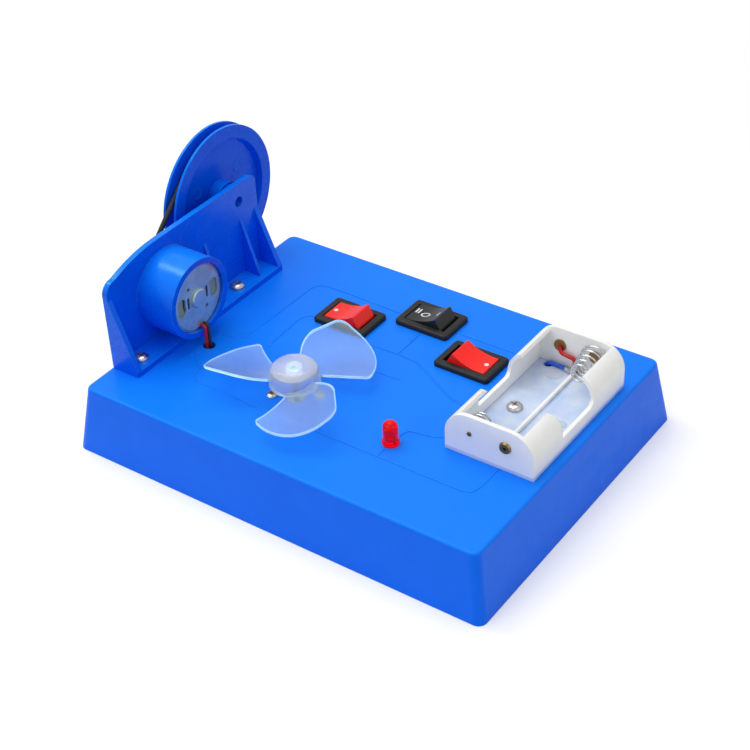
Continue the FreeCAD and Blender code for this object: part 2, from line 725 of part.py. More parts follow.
def grooved(radius, bottom, width, mouth):
    """The outside of a belt pulley as corners (radius, height) from front to back."""
    half = mouth / 2
    centre = width / 2
    seat = belt_track * sine(size.groove_seat_angle)
    return [(radius, measure(0)), (radius, centre - half),
            (bottom + belt_track / 2, centre - seat, -belt_track),
            (bottom + belt_track / 2, centre + seat),
            (radius, centre + half), (radius, width)]


big_pulley = new_body("big_pulley")
section = sketch_on(big_pulley, "XZ_Plane")
bore_radius = size.axle_radius + size.axle_clearance
outline = [(bore_radius, -size.pulley_hub_lead),
           (size.pulley_hub_radius, -size.pulley_hub_lead),
           (size.pulley_hub_radius, dish_floor), (rim_inside, dish_floor),
           (rim_inside + size.rim_draft, measure(0))]
outline += grooved(size.pulley_radius, size.groove_radius, size.pulley_width,
                   size.groove_mouth)
outline += [(rim_inside + size.rim_draft, size.pulley_width),
            (rim_inside, dish_floor + size.pulley_web),
            (size.pulley_hub_radius, dish_floor + size.pulley_web),
            (size.pulley_hub_radius, size.pulley_width + size.pulley_hub_step),
            (bore_radius, size.pulley_width + size.pulley_hub_step)]
profile(section, outline)
revolve(big_pulley, section)
put(big_pulley, pulley_front, size.pulley_y, pulley_z, outward)

washer = new_body("pulley_washer")
disc = sketch_on(washer, "XY_Plane")
circle(disc, 0, 0, size.washer_radius)
circle(disc, 0, 0, size.axle_screw_radius + size.screw_clearance)
pad(washer, disc, size.washer_thickness)
put(washer, axle_end, size.pulley_y, pulley_z, outward)

drive_pulley = new_body("drive_pulley")
section = sketch_on(drive_pulley, "XZ_Plane")
shaft_bore = size.shaft_radius + size.press_gap
profile(section, [(shaft_bore, measure(0))]
        + grooved(size.small_pulley_radius, size.small_groove_radius,
                  size.small_pulley_width, size.groove_mouth)
        + [(shaft_bore, size.small_pulley_width)])
revolve(drive_pulley, section)
put(drive_pulley, pulley_front, size.cup_y, cup_z, outward)

# The belt's centre line runs round both grooves and along their common tangents.
belt = new_body("drive_belt")
belt_plane = pulley_front - middle
run_y = size.pulley_y - size.cup_y
run_z = pulley_z - cup_z
spread = root(run_y * run_y + run_z * run_z)
big_track = size.groove_radius + belt_track
small_track = size.small_groove_radius + belt_track
lean = (big_track - small_track) / spread
rise = root(1 - lean * lean)
track = sketch_on(belt, "YZ_Plane", belt_plane, size.cup_y, cup_z, turned("Z", 1),
                  arctangent(run_z, run_y))
profile(track, [(-lean * small_track, rise * small_track),
                (spread - lean * big_track, rise * big_track, -big_track),
                (spread + big_track, 0, -big_track),
                (spread - lean * big_track, -rise * big_track),
                (-lean * small_track, -rise * small_track, -small_track)])
strand = belt.newObject("Sketcher::SketchObject", "drive_belt_strand")
strand.AttachmentSupport = [(track, "Edge1")]
strand.MapMode = "NormalToEdge"
circle(strand, 0, 0, size.belt_radius)
loop = belt.newObject("PartDesign::AdditivePipe", "drive_belt_loop")
loop.Profile = strand
loop.Spine = (track, ["Edge%d" % n for n in range(1, 6)])

# ---------------------------------------------------------------- screws and rivets


def turned_piece(name, outline, where, turn=None, recess=None):
    """A round piece about its own Z axis, with a cross recess from its top when given."""
    body = document.addObject("PartDesign::Body", name)
    section = sketch_on(body, "XZ_Plane")
    profile(section, outline)
    revolve(body, section)
    if recess is not None:
        length, height = recess
        for across in (False, True):
            slot = sketch_on(body, "XY_Plane", height)
            wide = size.recess_width if across else length
            deep = length if across else size.recess_width
            rectangle(slot, 0, 0, wide, deep)
            pocket(body, slot, size.recess_depth)
    put(body, *where, turn)
    return body


def screw(name, where, head_radius, head_height, shank_radius, shank_length, turn=None):
    """A pan-head screw with its seat at 0 and its shank along -Z."""
    flat = head_radius / 2
    outline = [(0, -shank_length), (shank_radius - shank_radius / 3, -shank_length),
               (shank_radius, -shank_length + shank_radius / 2), (shank_radius, measure(0)),
               (head_radius, measure(0)), (head_radius, head_height / 2, head_radius),
               (flat, head_height), (0, head_height)]
    return turned_piece(name, outline, where, turn, (head_radius, head_height))


bracket_screws = []
for index, (x, y) in enumerate(bracket_screw_spots):
    bracket_screws.append(screw("bracket_screw_%d" % index,
                                (x, y, top + size.flange_thickness), size.pan_head_radius,
                                size.pan_head_height, size.pan_shank_radius,
                                size.pan_shank_length))
group("bracket_screws", bracket_screws)
fan_screws = []
for index, (x, y) in enumerate(fan_screw_spots):
    fan_screws.append(screw("fan_screw_%d" % index, (x, y, top), size.small_head_radius,
                            size.small_head_height, size.small_shank_radius,
                            size.base_wall + size.motor_wall, turned("Z", 40)))
group("fan_motor_screws", fan_screws)
keep(screw("holder_screw", (holder_screw_x, size.holder_screw_y, top + size.holder_floor),
           size.pan_head_radius, size.pan_head_height, size.pan_shank_radius,
           size.pan_shank_length), "holder_screw")
keep(screw("pulley_screw", (axle_end - size.washer_thickness, size.pulley_y, pulley_z),
           size.pan_head_radius, size.pan_head_height, size.axle_screw_radius,
           size.axle_screw_length, outward), "pulley_screw")

# ---------------------------------------------------------------- flat motors
# A drawn steel can closed by a steel end plate with the brush card behind it, a ring magnet
# and a three-pole armature on the shaft. The end plate is at 0 and the shaft leaves along Z.


def flat_motor(prefix, where, turn, reach, screws):
    """One motor; reach is the shaft beyond the can, screws are the tapped holes in its face."""
    length = size.motor_length
    inside = size.motor_radius - size.motor_wall
    boss_end = length + size.motor_boss_height
    bearing = size.shaft_radius + size.bearing_clearance

    can = new_body(prefix + "_can")
    section = sketch_on(can, "XZ_Plane")
    profile(section, [(inside, measure(0)), (size.motor_radius, measure(0)),
                      (size.motor_radius, length - size.motor_round, size.motor_round),
                      (size.motor_radius - size.motor_round, length),
                      (size.motor_boss_radius, length), (size.motor_boss_radius, boss_end),
                      (bearing, boss_end), (bearing, length - size.motor_wall),
                      (inside, length - size.motor_wall)])
    revolve(can, section)
    if screws:
        hole(can, "XY_Plane", length, screws, size.small_shank_radius + size.press_gap,
             size.motor_wall)
    put(can, *where, turn)

    plate = new_body(prefix + "_end_plate")
    section = sketch_on(plate, "XZ_Plane")
    lip = size.motor_boss_height
    rim = inside - size.press_gap
    profile(section, [(0, -lip), (size.motor_boss_radius - size.end_plate / 2, -lip),
                      (size.motor_boss_radius, size.end_plate / 2 - lip),
                      (size.motor_boss_radius, measure(0)), (rim, measure(0)),
                      (rim, size.end_plate), (bearing, size.end_plate), (bearing, measure(0)),
                      (0, measure(0))])
    revolve(plate, section)
    for pitch, reach_x, span in ((size.window_pitch, size.window_reach, size.window_span),
                                 (size.slot_pitch, size.slot_reach, size.slot_span)):
        openings = sketch_on(plate, "XY_Plane", size.end_plate)
        for side in (1, -1):
            rounded_rectangle(openings, 0, pitch * side, reach_x, span, span / 2.1)
        pocket(plate, openings, size.end_plate)
    vents = sketch_on(plate, "XY_Plane", size.end_plate)
    for side in (1, -1):
        circle(vents, size.vent_x * side, -size.vent_y * side, size.vent_radius)
    pocket(plate, vents, size.end_plate)
    put(plate, *where, turn)

    card = new_body(prefix + "_brush_card")
    disc = sketch_on(card, "XY_Plane", size.end_plate)
    circle(disc, 0, 0, rim)
    circle(disc, 0, 0, size.shaft_radius + size.screw_clearance)
    pad(card, disc, size.brush_card)
    put(card, *where, turn)

    magnet = new_body(prefix + "_magnet")
    ring = sketch_on(magnet, "XY_Plane", length / 2 - size.magnet_length / 2)
    circle(ring, 0, 0, size.magnet_radius)
    circle(ring, 0, 0, size.magnet_radius - size.magnet_wall)
    pad(magnet, ring, size.magnet_length)
    put(magnet, *where, turn)

    armature = new_body(prefix + "_armature")
    raised = length / 2 - size.armature_length / 2
    core = sketch_on(armature, "XY_Plane", raised)
    circle(core, 0, 0, size.armature_waist)
    pad(armature, core, size.armature_length)
    pole = sketch_on(armature, "XY_Plane", raised)
    neck = size.armature_waist / 3
    shoe = size.armature_radius * 0.86
    swing = size.armature_radius / 2
    flank = root(size.armature_radius * size.armature_radius - swing * swing)
    profile(pole, [(0, -neck), (shoe, -neck), (shoe, -swing), (flank, -swing,
                                                              size.armature_radius),
                   (flank, swing), (shoe, swing), (shoe, neck), (0, neck)])
    arm = pad(armature, pole, size.armature_length)
    polar(armature, [arm], 3)
    hole(armature, "XY_Plane", length, [(0, 0)], shaft_bore, length)
    put(armature, *where, turn)

    shaft = new_body(prefix + "_shaft")
    bottom = sketch_on(shaft, "XY_Plane", size.bearing_clearance)
    circle(bottom, 0, 0, size.shaft_radius)
    pad(shaft, bottom, length - size.bearing_clearance + reach)
    put(shaft, *where, turn)


drive_reach = (motor_face - size.motor_length) - (pulley_front - size.small_pulley_width)
flat_motor("drive_motor", (motor_face, size.cup_y, cup_z), outward,
           drive_reach + size.shaft_end, [])

under_top = top - size.base_wall
fan_motor_z = under_top - size.motor_length
face_spots = []
for sign in (1, -1):
    reach = size.fan_screw_circle / 2 * sign
    face_spots.append((reach * cosine(size.fan_screw_angle),
                       reach * sine(size.fan_screw_angle)))
flat_motor("fan_motor", (size.fan_x, size.fan_y, fan_motor_z), FreeCAD.Rotation(),
           size.base_wall + size.fan_height + size.fan_hub_rise / 2, face_spots)

# ---------------------------------------------------------------- fan
# Three hollow pitched blades on a domed hub with a boss pressed on the shaft. The origin is
# the middle of the hub, on the fan's axis. A blade is the part of a curved sheet that lies
# inside its outline.

# outline of a blade as shares of the fan's radius: out along the blade, across it, and the
# radius of the edge that leaves this corner
BLADE = [(0.640, -0.397, 0.062), (0.745, -0.408, 0.565), (0.949, 0.305, 0.150),
         (0.812, 0.434), (0.512, 0.427, 0.440), (0.252, 0.279)]


def fan_hub():
    """The hub, hollow from below, with its dome and the boss on the shaft."""
    body = document.addObject("PartDesign::Body", "fan_hub")
    section = sketch_on(body, "XZ_Plane")
    hub_top = size.fan_hub_height - size.fan_hub_drop
    hub_shoulder = hub_top - size.fan_hub_rise
    inside = size.fan_hub_radius - size.fan_hub_wall
    dome = size.fan_hub_radius * size.fan_hub_radius + size.fan_hub_rise * size.fan_hub_rise
    roof = hub_shoulder - size.fan_hub_wall
    bore_end = size.fan_hub_rise / 2
    skirt = size.fan_hub_flare - size.fan_hub_drop
    profile(section, [(0, bore_end), (shaft_bore, bore_end), (shaft_bore, skirt),
                      (size.fan_boss_radius, skirt), (size.fan_boss_radius, roof),
                      (inside, roof), (inside, -size.fan_hub_drop),
                      (size.fan_hub_radius + size.fan_hub_flare, -size.fan_hub_drop),
                      (size.fan_hub_radius, skirt),
                      (size.fan_hub_radius, hub_shoulder, dome / (size.fan_hub_rise * 2)),
                      (0, hub_top)])
    revolve(body, section)
    round_edges(body, size.fan_hub_round, lambda edge: level_at(edge, hub_shoulder))
    return body


def fan_blade(number):
    """A blade: the piece that a curved sheet and an upright outline have in common."""
    outline_body = document.addObject("PartDesign::Body", "blade_outline_%d" % number)
    shape = sketch_on(outline_body, "XY_Plane")
    root_radius = size.fan_hub_radius - size.fan_hub_wall / 2
    toe = (root_radius * cosine(size.blade_root), -root_radius * sine(size.blade_root),
           size.fan_radius * -2.2)
    heel = (root_radius * cosine(size.blade_heel), root_radius * sine(size.blade_heel),
            -root_radius)
    edge = [tuple(size.fan_radius * share for share in corner) for corner in BLADE]
    profile(shape, [toe] + edge + [heel])
    pad(outline_body, shape, size.fan_radius, centred=True)

    sheet = document.addObject("PartDesign::Body", "blade_sheet_%d" % number)
    section = sketch_on(sheet, "YZ_Plane")
    reach = size.fan_radius / 2
    half = size.fan_blade_thickness / 2
    centre = size.blade_hollow - size.blade_belly_drop
    corners = []
    for radius in (size.blade_hollow + half, size.blade_hollow - half):
        for y in (-reach, reach):
            across = y + size.blade_belly_side
            corners.append((y, centre - third_side(radius, across)))
    near_low, far_low, near_high, far_high = corners
    profile(section, [near_low + (size.blade_hollow + half,), far_low,
                      far_high + (half - size.blade_hollow,), near_high])
    pad(sheet, section, size.fan_radius * 1.2)

    blade = document.addObject("Part::MultiCommon", "blade_%d" % number)
    blade.Shapes = [outline_body, sheet]
    put(blade, 0, 0, 0, turned("Z", 1), size.fan_angle + 120 * number)
    return blade


fan = keep(document.addObject("Part::MultiFuse", "fan"), "fan")
fan.Shapes = [fan_hub()] + [fan_blade(number) for number in range(3)]
put(fan, size.fan_x, size.fan_y, top + size.fan_height)

# ---------------------------------------------------------------- rocker switches
# Snap-in housings with a bezel on the top of the base, a rocker on two pins and solder tags
# below. The origin of a housing is the middle of its opening, that of a rocker its pins.


def rocker_switch(name, x, y, pressed):
    """One switch; pressed is 1 when the +X end of its rocker is down, or else -1."""
    housing = new_body(name + "_housing")
    bezel = sketch_on(housing, "XY_Plane")
    rounded_rectangle(bezel, 0, 0, size.switch_length, size.switch_width, size.bezel_corner)
    pad(housing, bezel, size.bezel_height)
    round_edges(housing, size.bezel_round, lambda edge: level_at(edge, size.bezel_height))
    case = sketch_on(housing, "XY_Plane")
    rectangle(case, 0, 0, size.cutout_length - size.cutout_clearance * 2,
              size.cutout_width - size.cutout_clearance * 2)
    pad(housing, case, size.switch_depth, back=True)
    window = sketch_on(housing, "XY_Plane", size.bezel_height)
    rectangle(window, 0, 0, size.window_length, size.window_width)
    pocket(housing, window, size.bezel_height + size.switch_depth - size.switch_floor)
    hole(housing, "XZ_Plane", 0, [(0, -size.rocker_axis_depth)],
         size.rocker_pin_radius + size.pin_clearance,
         size.window_width + (size.rocker_pin_reach + size.pin_clearance) * 2, centred=True)
    slots = sketch_on(housing, "XY_Plane", size.switch_floor - size.switch_depth)
    for side in (1, -1):
        rectangle(slots, size.terminal_pitch / 2 * side, 0, size.terminal_thickness,
                  size.terminal_width)
    pocket(housing, slots, size.switch_floor)
    put(housing, x, y, top)

    rocker = new_body(name + "_rocker")
    side_view = sketch_on(rocker, "XZ_Plane")
    ridge = size.rocker_ridge_x
    dip = size.rocker_ridge_z - size.rocker_dip_z
    hollow = (ridge * ridge + dip * dip) / (dip * 2)
    profile(side_view, [(-size.rocker_heel_x, size.rocker_heel_z),
                        (size.rocker_heel_x, size.rocker_heel_z),
                        (size.rocker_foot_x, size.rocker_foot_z),
                        (ridge, size.rocker_ridge_z, -hollow),
                        (-ridge, size.rocker_ridge_z),
                        (-size.rocker_foot_x, size.rocker_foot_z)])
    pad(rocker, side_view, size.window_width - size.rocker_clearance * 2, centred=True)
    round_edges(rocker, size.rocker_round,
                lambda edge: level_at(edge, size.rocker_ridge_z) and edge.BoundBox.XLength < 1)
    pins = sketch_on(rocker, "XZ_Plane")
    circle(pins, 0, 0, size.rocker_pin_radius)
    pad(rocker, pins, size.window_width + size.rocker_pin_reach * 2, centred=True)
    put(rocker, x, y, top - size.rocker_axis_depth,
        FreeCAD.Rotation(FreeCAD.Vector(0, pressed, 0), 1), size.rocker_tilt)

    tags = new_body(name + "_terminals")
    flat = sketch_on(tags, "XY_Plane", size.switch_floor - size.switch_depth)
    for side in (1, -1):
        rectangle(flat, size.terminal_pitch / 2 * side, 0, size.terminal_thickness,
                  size.terminal_width)
    pad(tags, flat, size.switch_floor + size.terminal_length, back=True)
    hole(tags, "YZ_Plane", 0, [(0, size.terminal_width / 2 - size.switch_depth
                                - size.terminal_length)], size.terminal_hole,
         size.terminal_pitch * 2, centred=True)
    put(tags, x, y, top)


for name, pressed in (("left_switch", -1), ("middle_switch", -1), ("right_switch", 1)):
    rocker_switch(name, *switch_spots[name], pressed)

# ---------------------------------------------------------------- lamp
# A light-emitting diode with its rim on the top and two legs through a hole.

lamp = turned_piece("lamp", [(0, measure(0)), (size.lamp_rim_radius, measure(0)),
                             (size.lamp_rim_radius, size.lamp_rim_height),
                             (size.lamp_radius, size.lamp_rim_height),
                             (size.lamp_radius, size.lamp_height - size.lamp_radius,
                              size.lamp_radius),
                             (0, size.lamp_height)], (size.lamp_x, size.lamp_y, top))
keep(lamp, "lamp")
legs = new_body("lamp_legs")
ends = sketch_on(legs, "XY_Plane")
for side in (1, -1):
    rectangle(ends, size.leg_pitch / 2 * side, 0, size.leg_width, size.leg_width)
pad(legs, ends, size.leg_length, back=True)
put(legs, size.lamp_x, size.lamp_y, top)

# ---------------------------------------------------------------- holder for two cells
# One moulding with a floor, end walls and side walls that wrap over the cells. The middle of
# each side is low so that the cells can be taken out. The origin is the middle of its foot.

holder = new_body("battery_holder")
half_pitch = size.cell_pitch / 2
outer = size.cradle_radius + size.holder_wall
inner = size.cradle_radius
roof = size.cell_axis + outer
block = sketch_on(holder, "XZ_Plane")
profile(block, [(-half_pitch - outer, 0), (half_pitch + outer, 0),
                (half_pitch + outer, size.cell_axis, outer), (half_pitch, roof),
                (-half_pitch, roof, outer), (-half_pitch - outer, size.cell_axis)])
pad(holder, block, size.holder_length, centred=True)
bays = sketch_on(holder, "XZ_Plane")
lip_x = inner * cosine(size.cradle_angle)
lip_z = inner * sine(size.cradle_angle)
mouth = (inner + size.holder_wall * 3) / inner
profile(bays, [(-half_pitch - inner, size.holder_floor),
               (half_pitch + inner, size.holder_floor),
               (half_pitch + inner, size.cell_axis, inner),
               (half_pitch + lip_x, size.cell_axis + lip_z),
               (half_pitch + lip_x * mouth, size.cell_axis + lip_z * mouth),
               (-half_pitch - lip_x * mouth, size.cell_axis + lip_z * mouth),
               (-half_pitch - lip_x, size.cell_axis + lip_z, inner),
               (-half_pitch - inner, size.cell_axis)])
pocket(holder, bays, inside_length, centred=True)
step = sketch_on(holder, "YZ_Plane")
low_near = -size.cradle_near
low_far = size.cradle_far
profile(step, [(low_near, size.low_side),
               (low_far - size.side_round, size.low_side, size.side_round),
               (low_far, size.low_side + size.side_round),
               (low_far, roof + size.holder_wall),
               (low_near - size.side_round, roof + size.holder_wall),
               (low_near - size.side_round, roof - size.holder_wall, -size.side_round),
               (low_near, roof - size.holder_wall - size.side_round)])
pocket(holder, step, outer * 6, centred=True)
ridge = sketch_on(holder, "XY_Plane", size.holder_floor)
rectangle(ridge, 0, -size.ridge_gap / 2, size.ridge_width, inside_length - size.ridge_gap)
pad(holder, ridge, size.ridge_height)
for x, y, radius in exits:
    hole(holder, "XY_Plane", size.holder_floor, [(x, y)], radius, size.holder_floor)
left_contact = size.contact_offset - size.contact_pitch / 2
right_contact = size.contact_offset + size.contact_pitch / 2
back_grips = [(left_contact, size.rivet_radius), (right_contact, size.rivet_radius)]
front_grips = [(left_contact, size.pin_radius), (right_contact, size.rivet_radius)]
hole(holder, "XY_Plane", size.holder_floor, [(-half_pitch, size.holder_screw_y
                                              - size.holder_y)],
     size.pan_shank_radius + size.screw_clearance, size.holder_floor)
for grips, front in ((back_grips, False), (front_grips, True)):
    grip_holes = sketch_on(holder, "XZ_Plane")
    for x, grip in grips:
        circle(grip_holes, x, size.contact_height, grip + size.press_gap)
    pocket(holder, grip_holes, size.holder_length, back=front)
put(holder, holder_x, size.holder_y, top)

# the strap that joins the two contacts of the front wall
plate_y = inside_length / 2
strap = new_body("contact_strap")
flat = sketch_on(strap, "XZ_Plane", plate_y)
rectangle(flat, size.contact_offset, size.contact_height,
          size.contact_pitch + size.contact_width, size.contact_width)
for x, grip in front_grips:
    circle(flat, x, size.contact_height, grip + size.press_gap)
pad(strap, flat, size.contact_thickness, back=True)
put(strap, holder_x, size.holder_y, top)

# Each contact is clinched by a rivet with an open end, the front spring by a plain pin. A
# spring stands at the front of one cell and at the back of the other.
rivets = []
springs = []
contact_z = top + size.contact_height
ends = [("back", 1, turned("X", -90), turned("X", 90), measure(0), back_grips,
         size.spring_length, size.spring_turns),
        ("front", -1, turned("X", 90), turned("X", -90), size.contact_thickness, front_grips,
         size.front_spring_length, size.front_spring_turns)]
for end, sign, outwards, inwards, strap_thickness, grips, spring_length, turns in ends:
    through = size.holder_end_wall + strap_thickness
    head = size.rivet_head
    crown = size.rivet_head_height
    for index, (shift, grip) in enumerate(grips):
        outline = [(0, -through - crown), (head, -through - crown), (head, -through),
                   (grip, -through)]
        if grip is size.pin_radius:
            outline += [(grip, crown / 2), (0, crown / 2)]
        else:
            outline += [(grip, measure(0)), (head, measure(0)), (head - crown / 2, crown),
                        (size.rivet_bore, crown), (size.rivet_bore, -crown), (0, -crown)]
        rivets.append(turned_piece("rivet_%s_%d" % (end, index), outline,
                                   (holder_x + shift,
                                    size.holder_y + size.holder_length / 2 * sign,
                                    contact_z), outwards))
    spring = document.addObject("PartDesign::Body", "spring_" + end)
    start = sketch_on(spring, "XZ_Plane")
    circle(start, size.spring_base, size.spring_wire, size.spring_wire)
    coil = spring.newObject("PartDesign::AdditiveHelix", "coil_" + end)
    coil.Profile = start
    coil.ReferenceAxis = (start, ["V_Axis"])
    coil.Mode = "height-turns-growth"
    bind(coil, "Height", spring_length)
    bind(coil, "Turns", turns)
    bind(coil, "Growth", (size.spring_tip - size.spring_base) / turns)
    wall = (inside_length / 2 - strap_thickness) * sign
    contact = right_contact if sign > 0 else left_contact
    put(spring, holder_x + contact, size.holder_y + wall, contact_z, inwards)
    springs.append(spring)
group("holder_rivets", rivets)
group("holder_springs", springs)

# ---------------------------------------------------------------- leads
# Insulated leads, each held at both ends: straight runs joined by arcs that touch them.


def lead(name, route, radius=size.lead_radius, bend=size.lead_bend):
    """A round lead along a route of points, with no bend wider than the given one."""
    points = [FreeCAD.Vector(*[measure(value).number for value in spot]) for spot in route]
    thickness = radius.number
    edges = []
    start = points[0]
    bends = []
    for before, corner, after in zip(points, points[1:], points[2:]):
        back = (before - corner)
        ahead = (after - corner)
        half_turn = (math.pi - back.getAngle(ahead)) / 2
        widest = 0.45 * min(back.Length, ahead.Length) / math.tan(half_turn)
        curve = min(widest, bend.number)
        setback = curve * math.tan(half_turn)
        entry = corner + back.normalize() * setback
        leave = corner + ahead.normalize() * setback
        inward = (back + ahead).normalize()
        crown = corner + inward * (math.hypot(curve, setback) - curve)
        edges.append(Part.LineSegment(start, entry).toShape())
        edges.append(Part.Arc(entry, crown, leave).toShape())
        start = leave
        bends.append(round(curve, 1))
    edges.append(Part.LineSegment(start, points[-1]).toShape())
    path = Part.Wire(edges)
    section = Part.Wire(Part.makeCircle(thickness, points[0], points[1] - points[0]))
    tube = path.makePipeShell([section], True, False)
    expected = math.pi * thickness * thickness * path.Length
    if abs(tube.Volume / expected - 1) > 0.01:
        raise RuntimeError("bad tube: " + name)
    print(name, "length", round(path.Length, 1), "bends", bends)
    piece = document.addObject("Part::Feature", name)
    piece.Shape = tube
    keep(piece, name)


def tag_end(name, side, towards_x, towards_y):
    """The last run of a lead, square to one face of a solder tag at the height of its eye."""
    x, y = switch_spots[name]
    x += size.terminal_pitch / 2 * side + size.terminal_thickness / 2 * towards_x
    y += size.terminal_width / 2 * towards_y
    return [(x + size.lead_approach * towards_x, y + size.lead_approach * towards_y, tag_eye),
            (x, y, tag_eye)]


tag_tip = top - size.switch_depth - size.terminal_length
tag_eye = tag_tip + size.terminal_width / 2

# from the drive motor through the base to the left switch
seat_z = cup_z - size.lead_seat
for name, beside, depth, end in (
        ("drive_lead_red", measure(0), size.switch_depth,
         tag_end("left_switch", -1, -1, 0)),
        ("drive_lead_black", size.lead_gap, size.screw_boss_depth,
         tag_end("left_switch", 1, 0, -1))):
    lead(name, [(motor_face, size.cup_y + beside, seat_z),
                (motor_face + size.lead_start, size.cup_y + beside, seat_z),
                (lead_hole_x + beside / 2 - size.lead_gap / 4,
                 lead_hole_y + beside - size.lead_gap / 2, top - depth)] + end)

# from the fan motor to the right switch
for name, turn, end in (
        ("fan_lead_red", measure(0), tag_end("right_switch", -1, -1, 0)),
        ("fan_lead_black", size.lead_turn, tag_end("right_switch", 1, 0, -1))):
    x = size.fan_x + size.lead_seat * sine(turn)
    y = size.fan_y + size.lead_seat * cosine(turn)
    lead(name, [(x, y, fan_motor_z), (x, y, fan_motor_z - size.lead_start * 2)] + end)

# from the lamp to the middle switch, the red lead round the right switch and the black one
# under the fan's leads
leg_end = top - size.leg_length
right_x, right_y = switch_spots["right_switch"]
side_x = right_x + size.switch_length / 2 + size.lead_start
lead("lamp_lead_red", [
    (size.lamp_x + size.leg_pitch / 2, size.lamp_y, leg_end),
    (size.lamp_x + size.leg_pitch / 2, size.lamp_y, tag_tip),
    (side_x, right_y - size.switch_length, tag_tip),
    (side_x, right_y + size.switch_width / 2, tag_tip)] + tag_end("middle_switch", 1, 1, 0))
start_x = size.lamp_x - size.leg_pitch / 2
run_in = tag_end("middle_switch", -1, -1, 0)
under = tag_tip - size.lead_radius * 3
lead("lamp_lead_black", [
    (start_x, size.lamp_y, leg_end), (start_x, size.lamp_y, tag_tip),
    (between(start_x, run_in[0][0], 0.25), between(size.lamp_y, run_in[0][1], 0.25), under),
    (between(start_x, run_in[0][0], 0.75), between(size.lamp_y, run_in[0][1], 0.75), under)]
    + run_in)

# from the back wall of the holder down through the base: the red lead to the right switch and
# the blue one to the middle switch
rivet_x = holder_x + left_contact
on_rivet = size.holder_y + inside_length / 2 - size.rivet_head_height - size.holder_lead_radius
red_x = holder_x + size.red_exit_x
red_y = size.holder_y + inside_length / 2 - size.red_exit_inset
lead("holder_lead_red", [
    (rivet_x + size.rivet_bore / 2, on_rivet, contact_z),
    (rivet_x + size.rivet_head * 0.6, on_rivet, contact_z - size.rivet_head),
    (red_x, red_y, contact_z - size.rivet_head * 1.4),
    (red_x, red_y, top - size.screw_boss_depth)] + tag_end("right_switch", 1, 1, 0),
     size.holder_lead_radius, size.holder_lead_bend)
blue_x = (holder_x + size.blue_exit_x - size.blue_exit_radius + size.holder_lead_radius
          + size.screw_clearance)
blue_y = size.holder_y + inside_length / 2 - size.blue_exit_inset
pass_y = size.holder_y + inside_length / 2 - size.blue_pass
on_floor = top + size.holder_floor + size.holder_lead_radius + size.press_gap
spring_x = holder_x + right_contact - size.spring_base * 1.1
lead("holder_lead_blue", [
    (spring_x, between(red_y, pass_y, 0.4), contact_z - size.rivet_head * 1.2),
    (between(spring_x, red_x, 0.25), pass_y, on_floor + size.holder_lead_bend),
    (red_x - size.rivet_head / 2, pass_y, on_floor),
    (red_x - size.rivet_head * 2, blue_y, on_floor), (blue_x, blue_y, on_floor),
    (blue_x, blue_y, top - size.base_wall * 2)] + tag_end("middle_switch", 1, 0, 1),
     size.holder_lead_radius, size.holder_lead_bend)

# ---------------------------------------------------------------- save

document.recompute()
os.makedirs("parts", exist_ok=True)
faulty = [item.Name for item in document.Objects
          if "Invalid" in item.State or "Error" in item.State]
if faulty:
    raise RuntimeError("not built: " + ", ".join(faulty))
for piece in pieces:
    if piece.Shape.isNull() or not piece.Shape.isValid():
        raise RuntimeError("bad shape: " + piece.Label)
    piece.Shape.exportStep("parts/%s.step" % piece.Label)
    print(piece.Label, len(piece.Shape.Solids), round(piece.Shape.Volume, 1))
print(len(pieces), "pieces")
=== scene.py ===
import math

import bpy
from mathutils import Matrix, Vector


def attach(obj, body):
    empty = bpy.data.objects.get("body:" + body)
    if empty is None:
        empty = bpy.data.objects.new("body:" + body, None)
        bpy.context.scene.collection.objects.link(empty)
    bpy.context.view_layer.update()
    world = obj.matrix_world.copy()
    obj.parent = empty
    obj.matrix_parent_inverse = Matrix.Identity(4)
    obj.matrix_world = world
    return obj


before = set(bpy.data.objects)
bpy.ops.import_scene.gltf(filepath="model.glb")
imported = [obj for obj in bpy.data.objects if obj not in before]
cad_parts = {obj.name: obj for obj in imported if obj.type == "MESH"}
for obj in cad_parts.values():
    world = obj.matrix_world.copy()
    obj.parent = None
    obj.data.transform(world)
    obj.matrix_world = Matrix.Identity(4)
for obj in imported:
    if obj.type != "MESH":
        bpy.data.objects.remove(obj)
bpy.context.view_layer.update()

mm = 0.001

# ---------------------------------------------------------------- table, lamps and camera
# A plain pale table in soft studio light. One broad lamp hangs over the apparatus, weaker ones
# fill the front and the right, a small one at the left draws the highlights on round parts,
# and the pale room around does the rest.

table_grey = (0.86, 0.86, 0.86, 1)
table_lift = 0.2
table_whole_to = 125 * mm
table_gone_from = 260 * mm
room_light = (0.98, 0.99, 1.0, 1)
room_strength = 0.5
room_in_gloss = 0.42

scene = bpy.context.scene
scene.view_settings.view_transform = "Standard"


def deselect():
    """Leave nothing selected."""
    bpy.ops.object.select_all(action="DESELECT")


def add_node(finish, kind, **settings):
    """A new node of a material or of the world, with its settings."""
    item = finish.node_tree.nodes.new("ShaderNode" + kind)
    for name, value in settings.items():
        setattr(item, name, value)
    return item


def wire(finish, source, target):
    """Join an output to an input."""
    finish.node_tree.links.new(source, target)


def between(finish, value, low, high, start=0.35, end=0.65):
    """Spread a pattern from start to end over the values low to high."""
    spread = add_node(finish, "MapRange")
    spread.inputs["From Min"].default_value = start
    spread.inputs["From Max"].default_value = end
    spread.inputs["To Min"].default_value = low
    spread.inputs["To Max"].default_value = high
    wire(finish, value, spread.inputs["Value"])
    return spread.outputs[0]


def combine(finish, operation, first, second):
    """Two values, or a value and a number, put together."""
    result = add_node(finish, "Math", operation=operation)
    for socket, value in ((result.inputs[0], first), (result.inputs[1], second)):
        if isinstance(value, (int, float)):
            socket.default_value = value
        else:
            wire(finish, value, socket)
    return result.outputs[0]


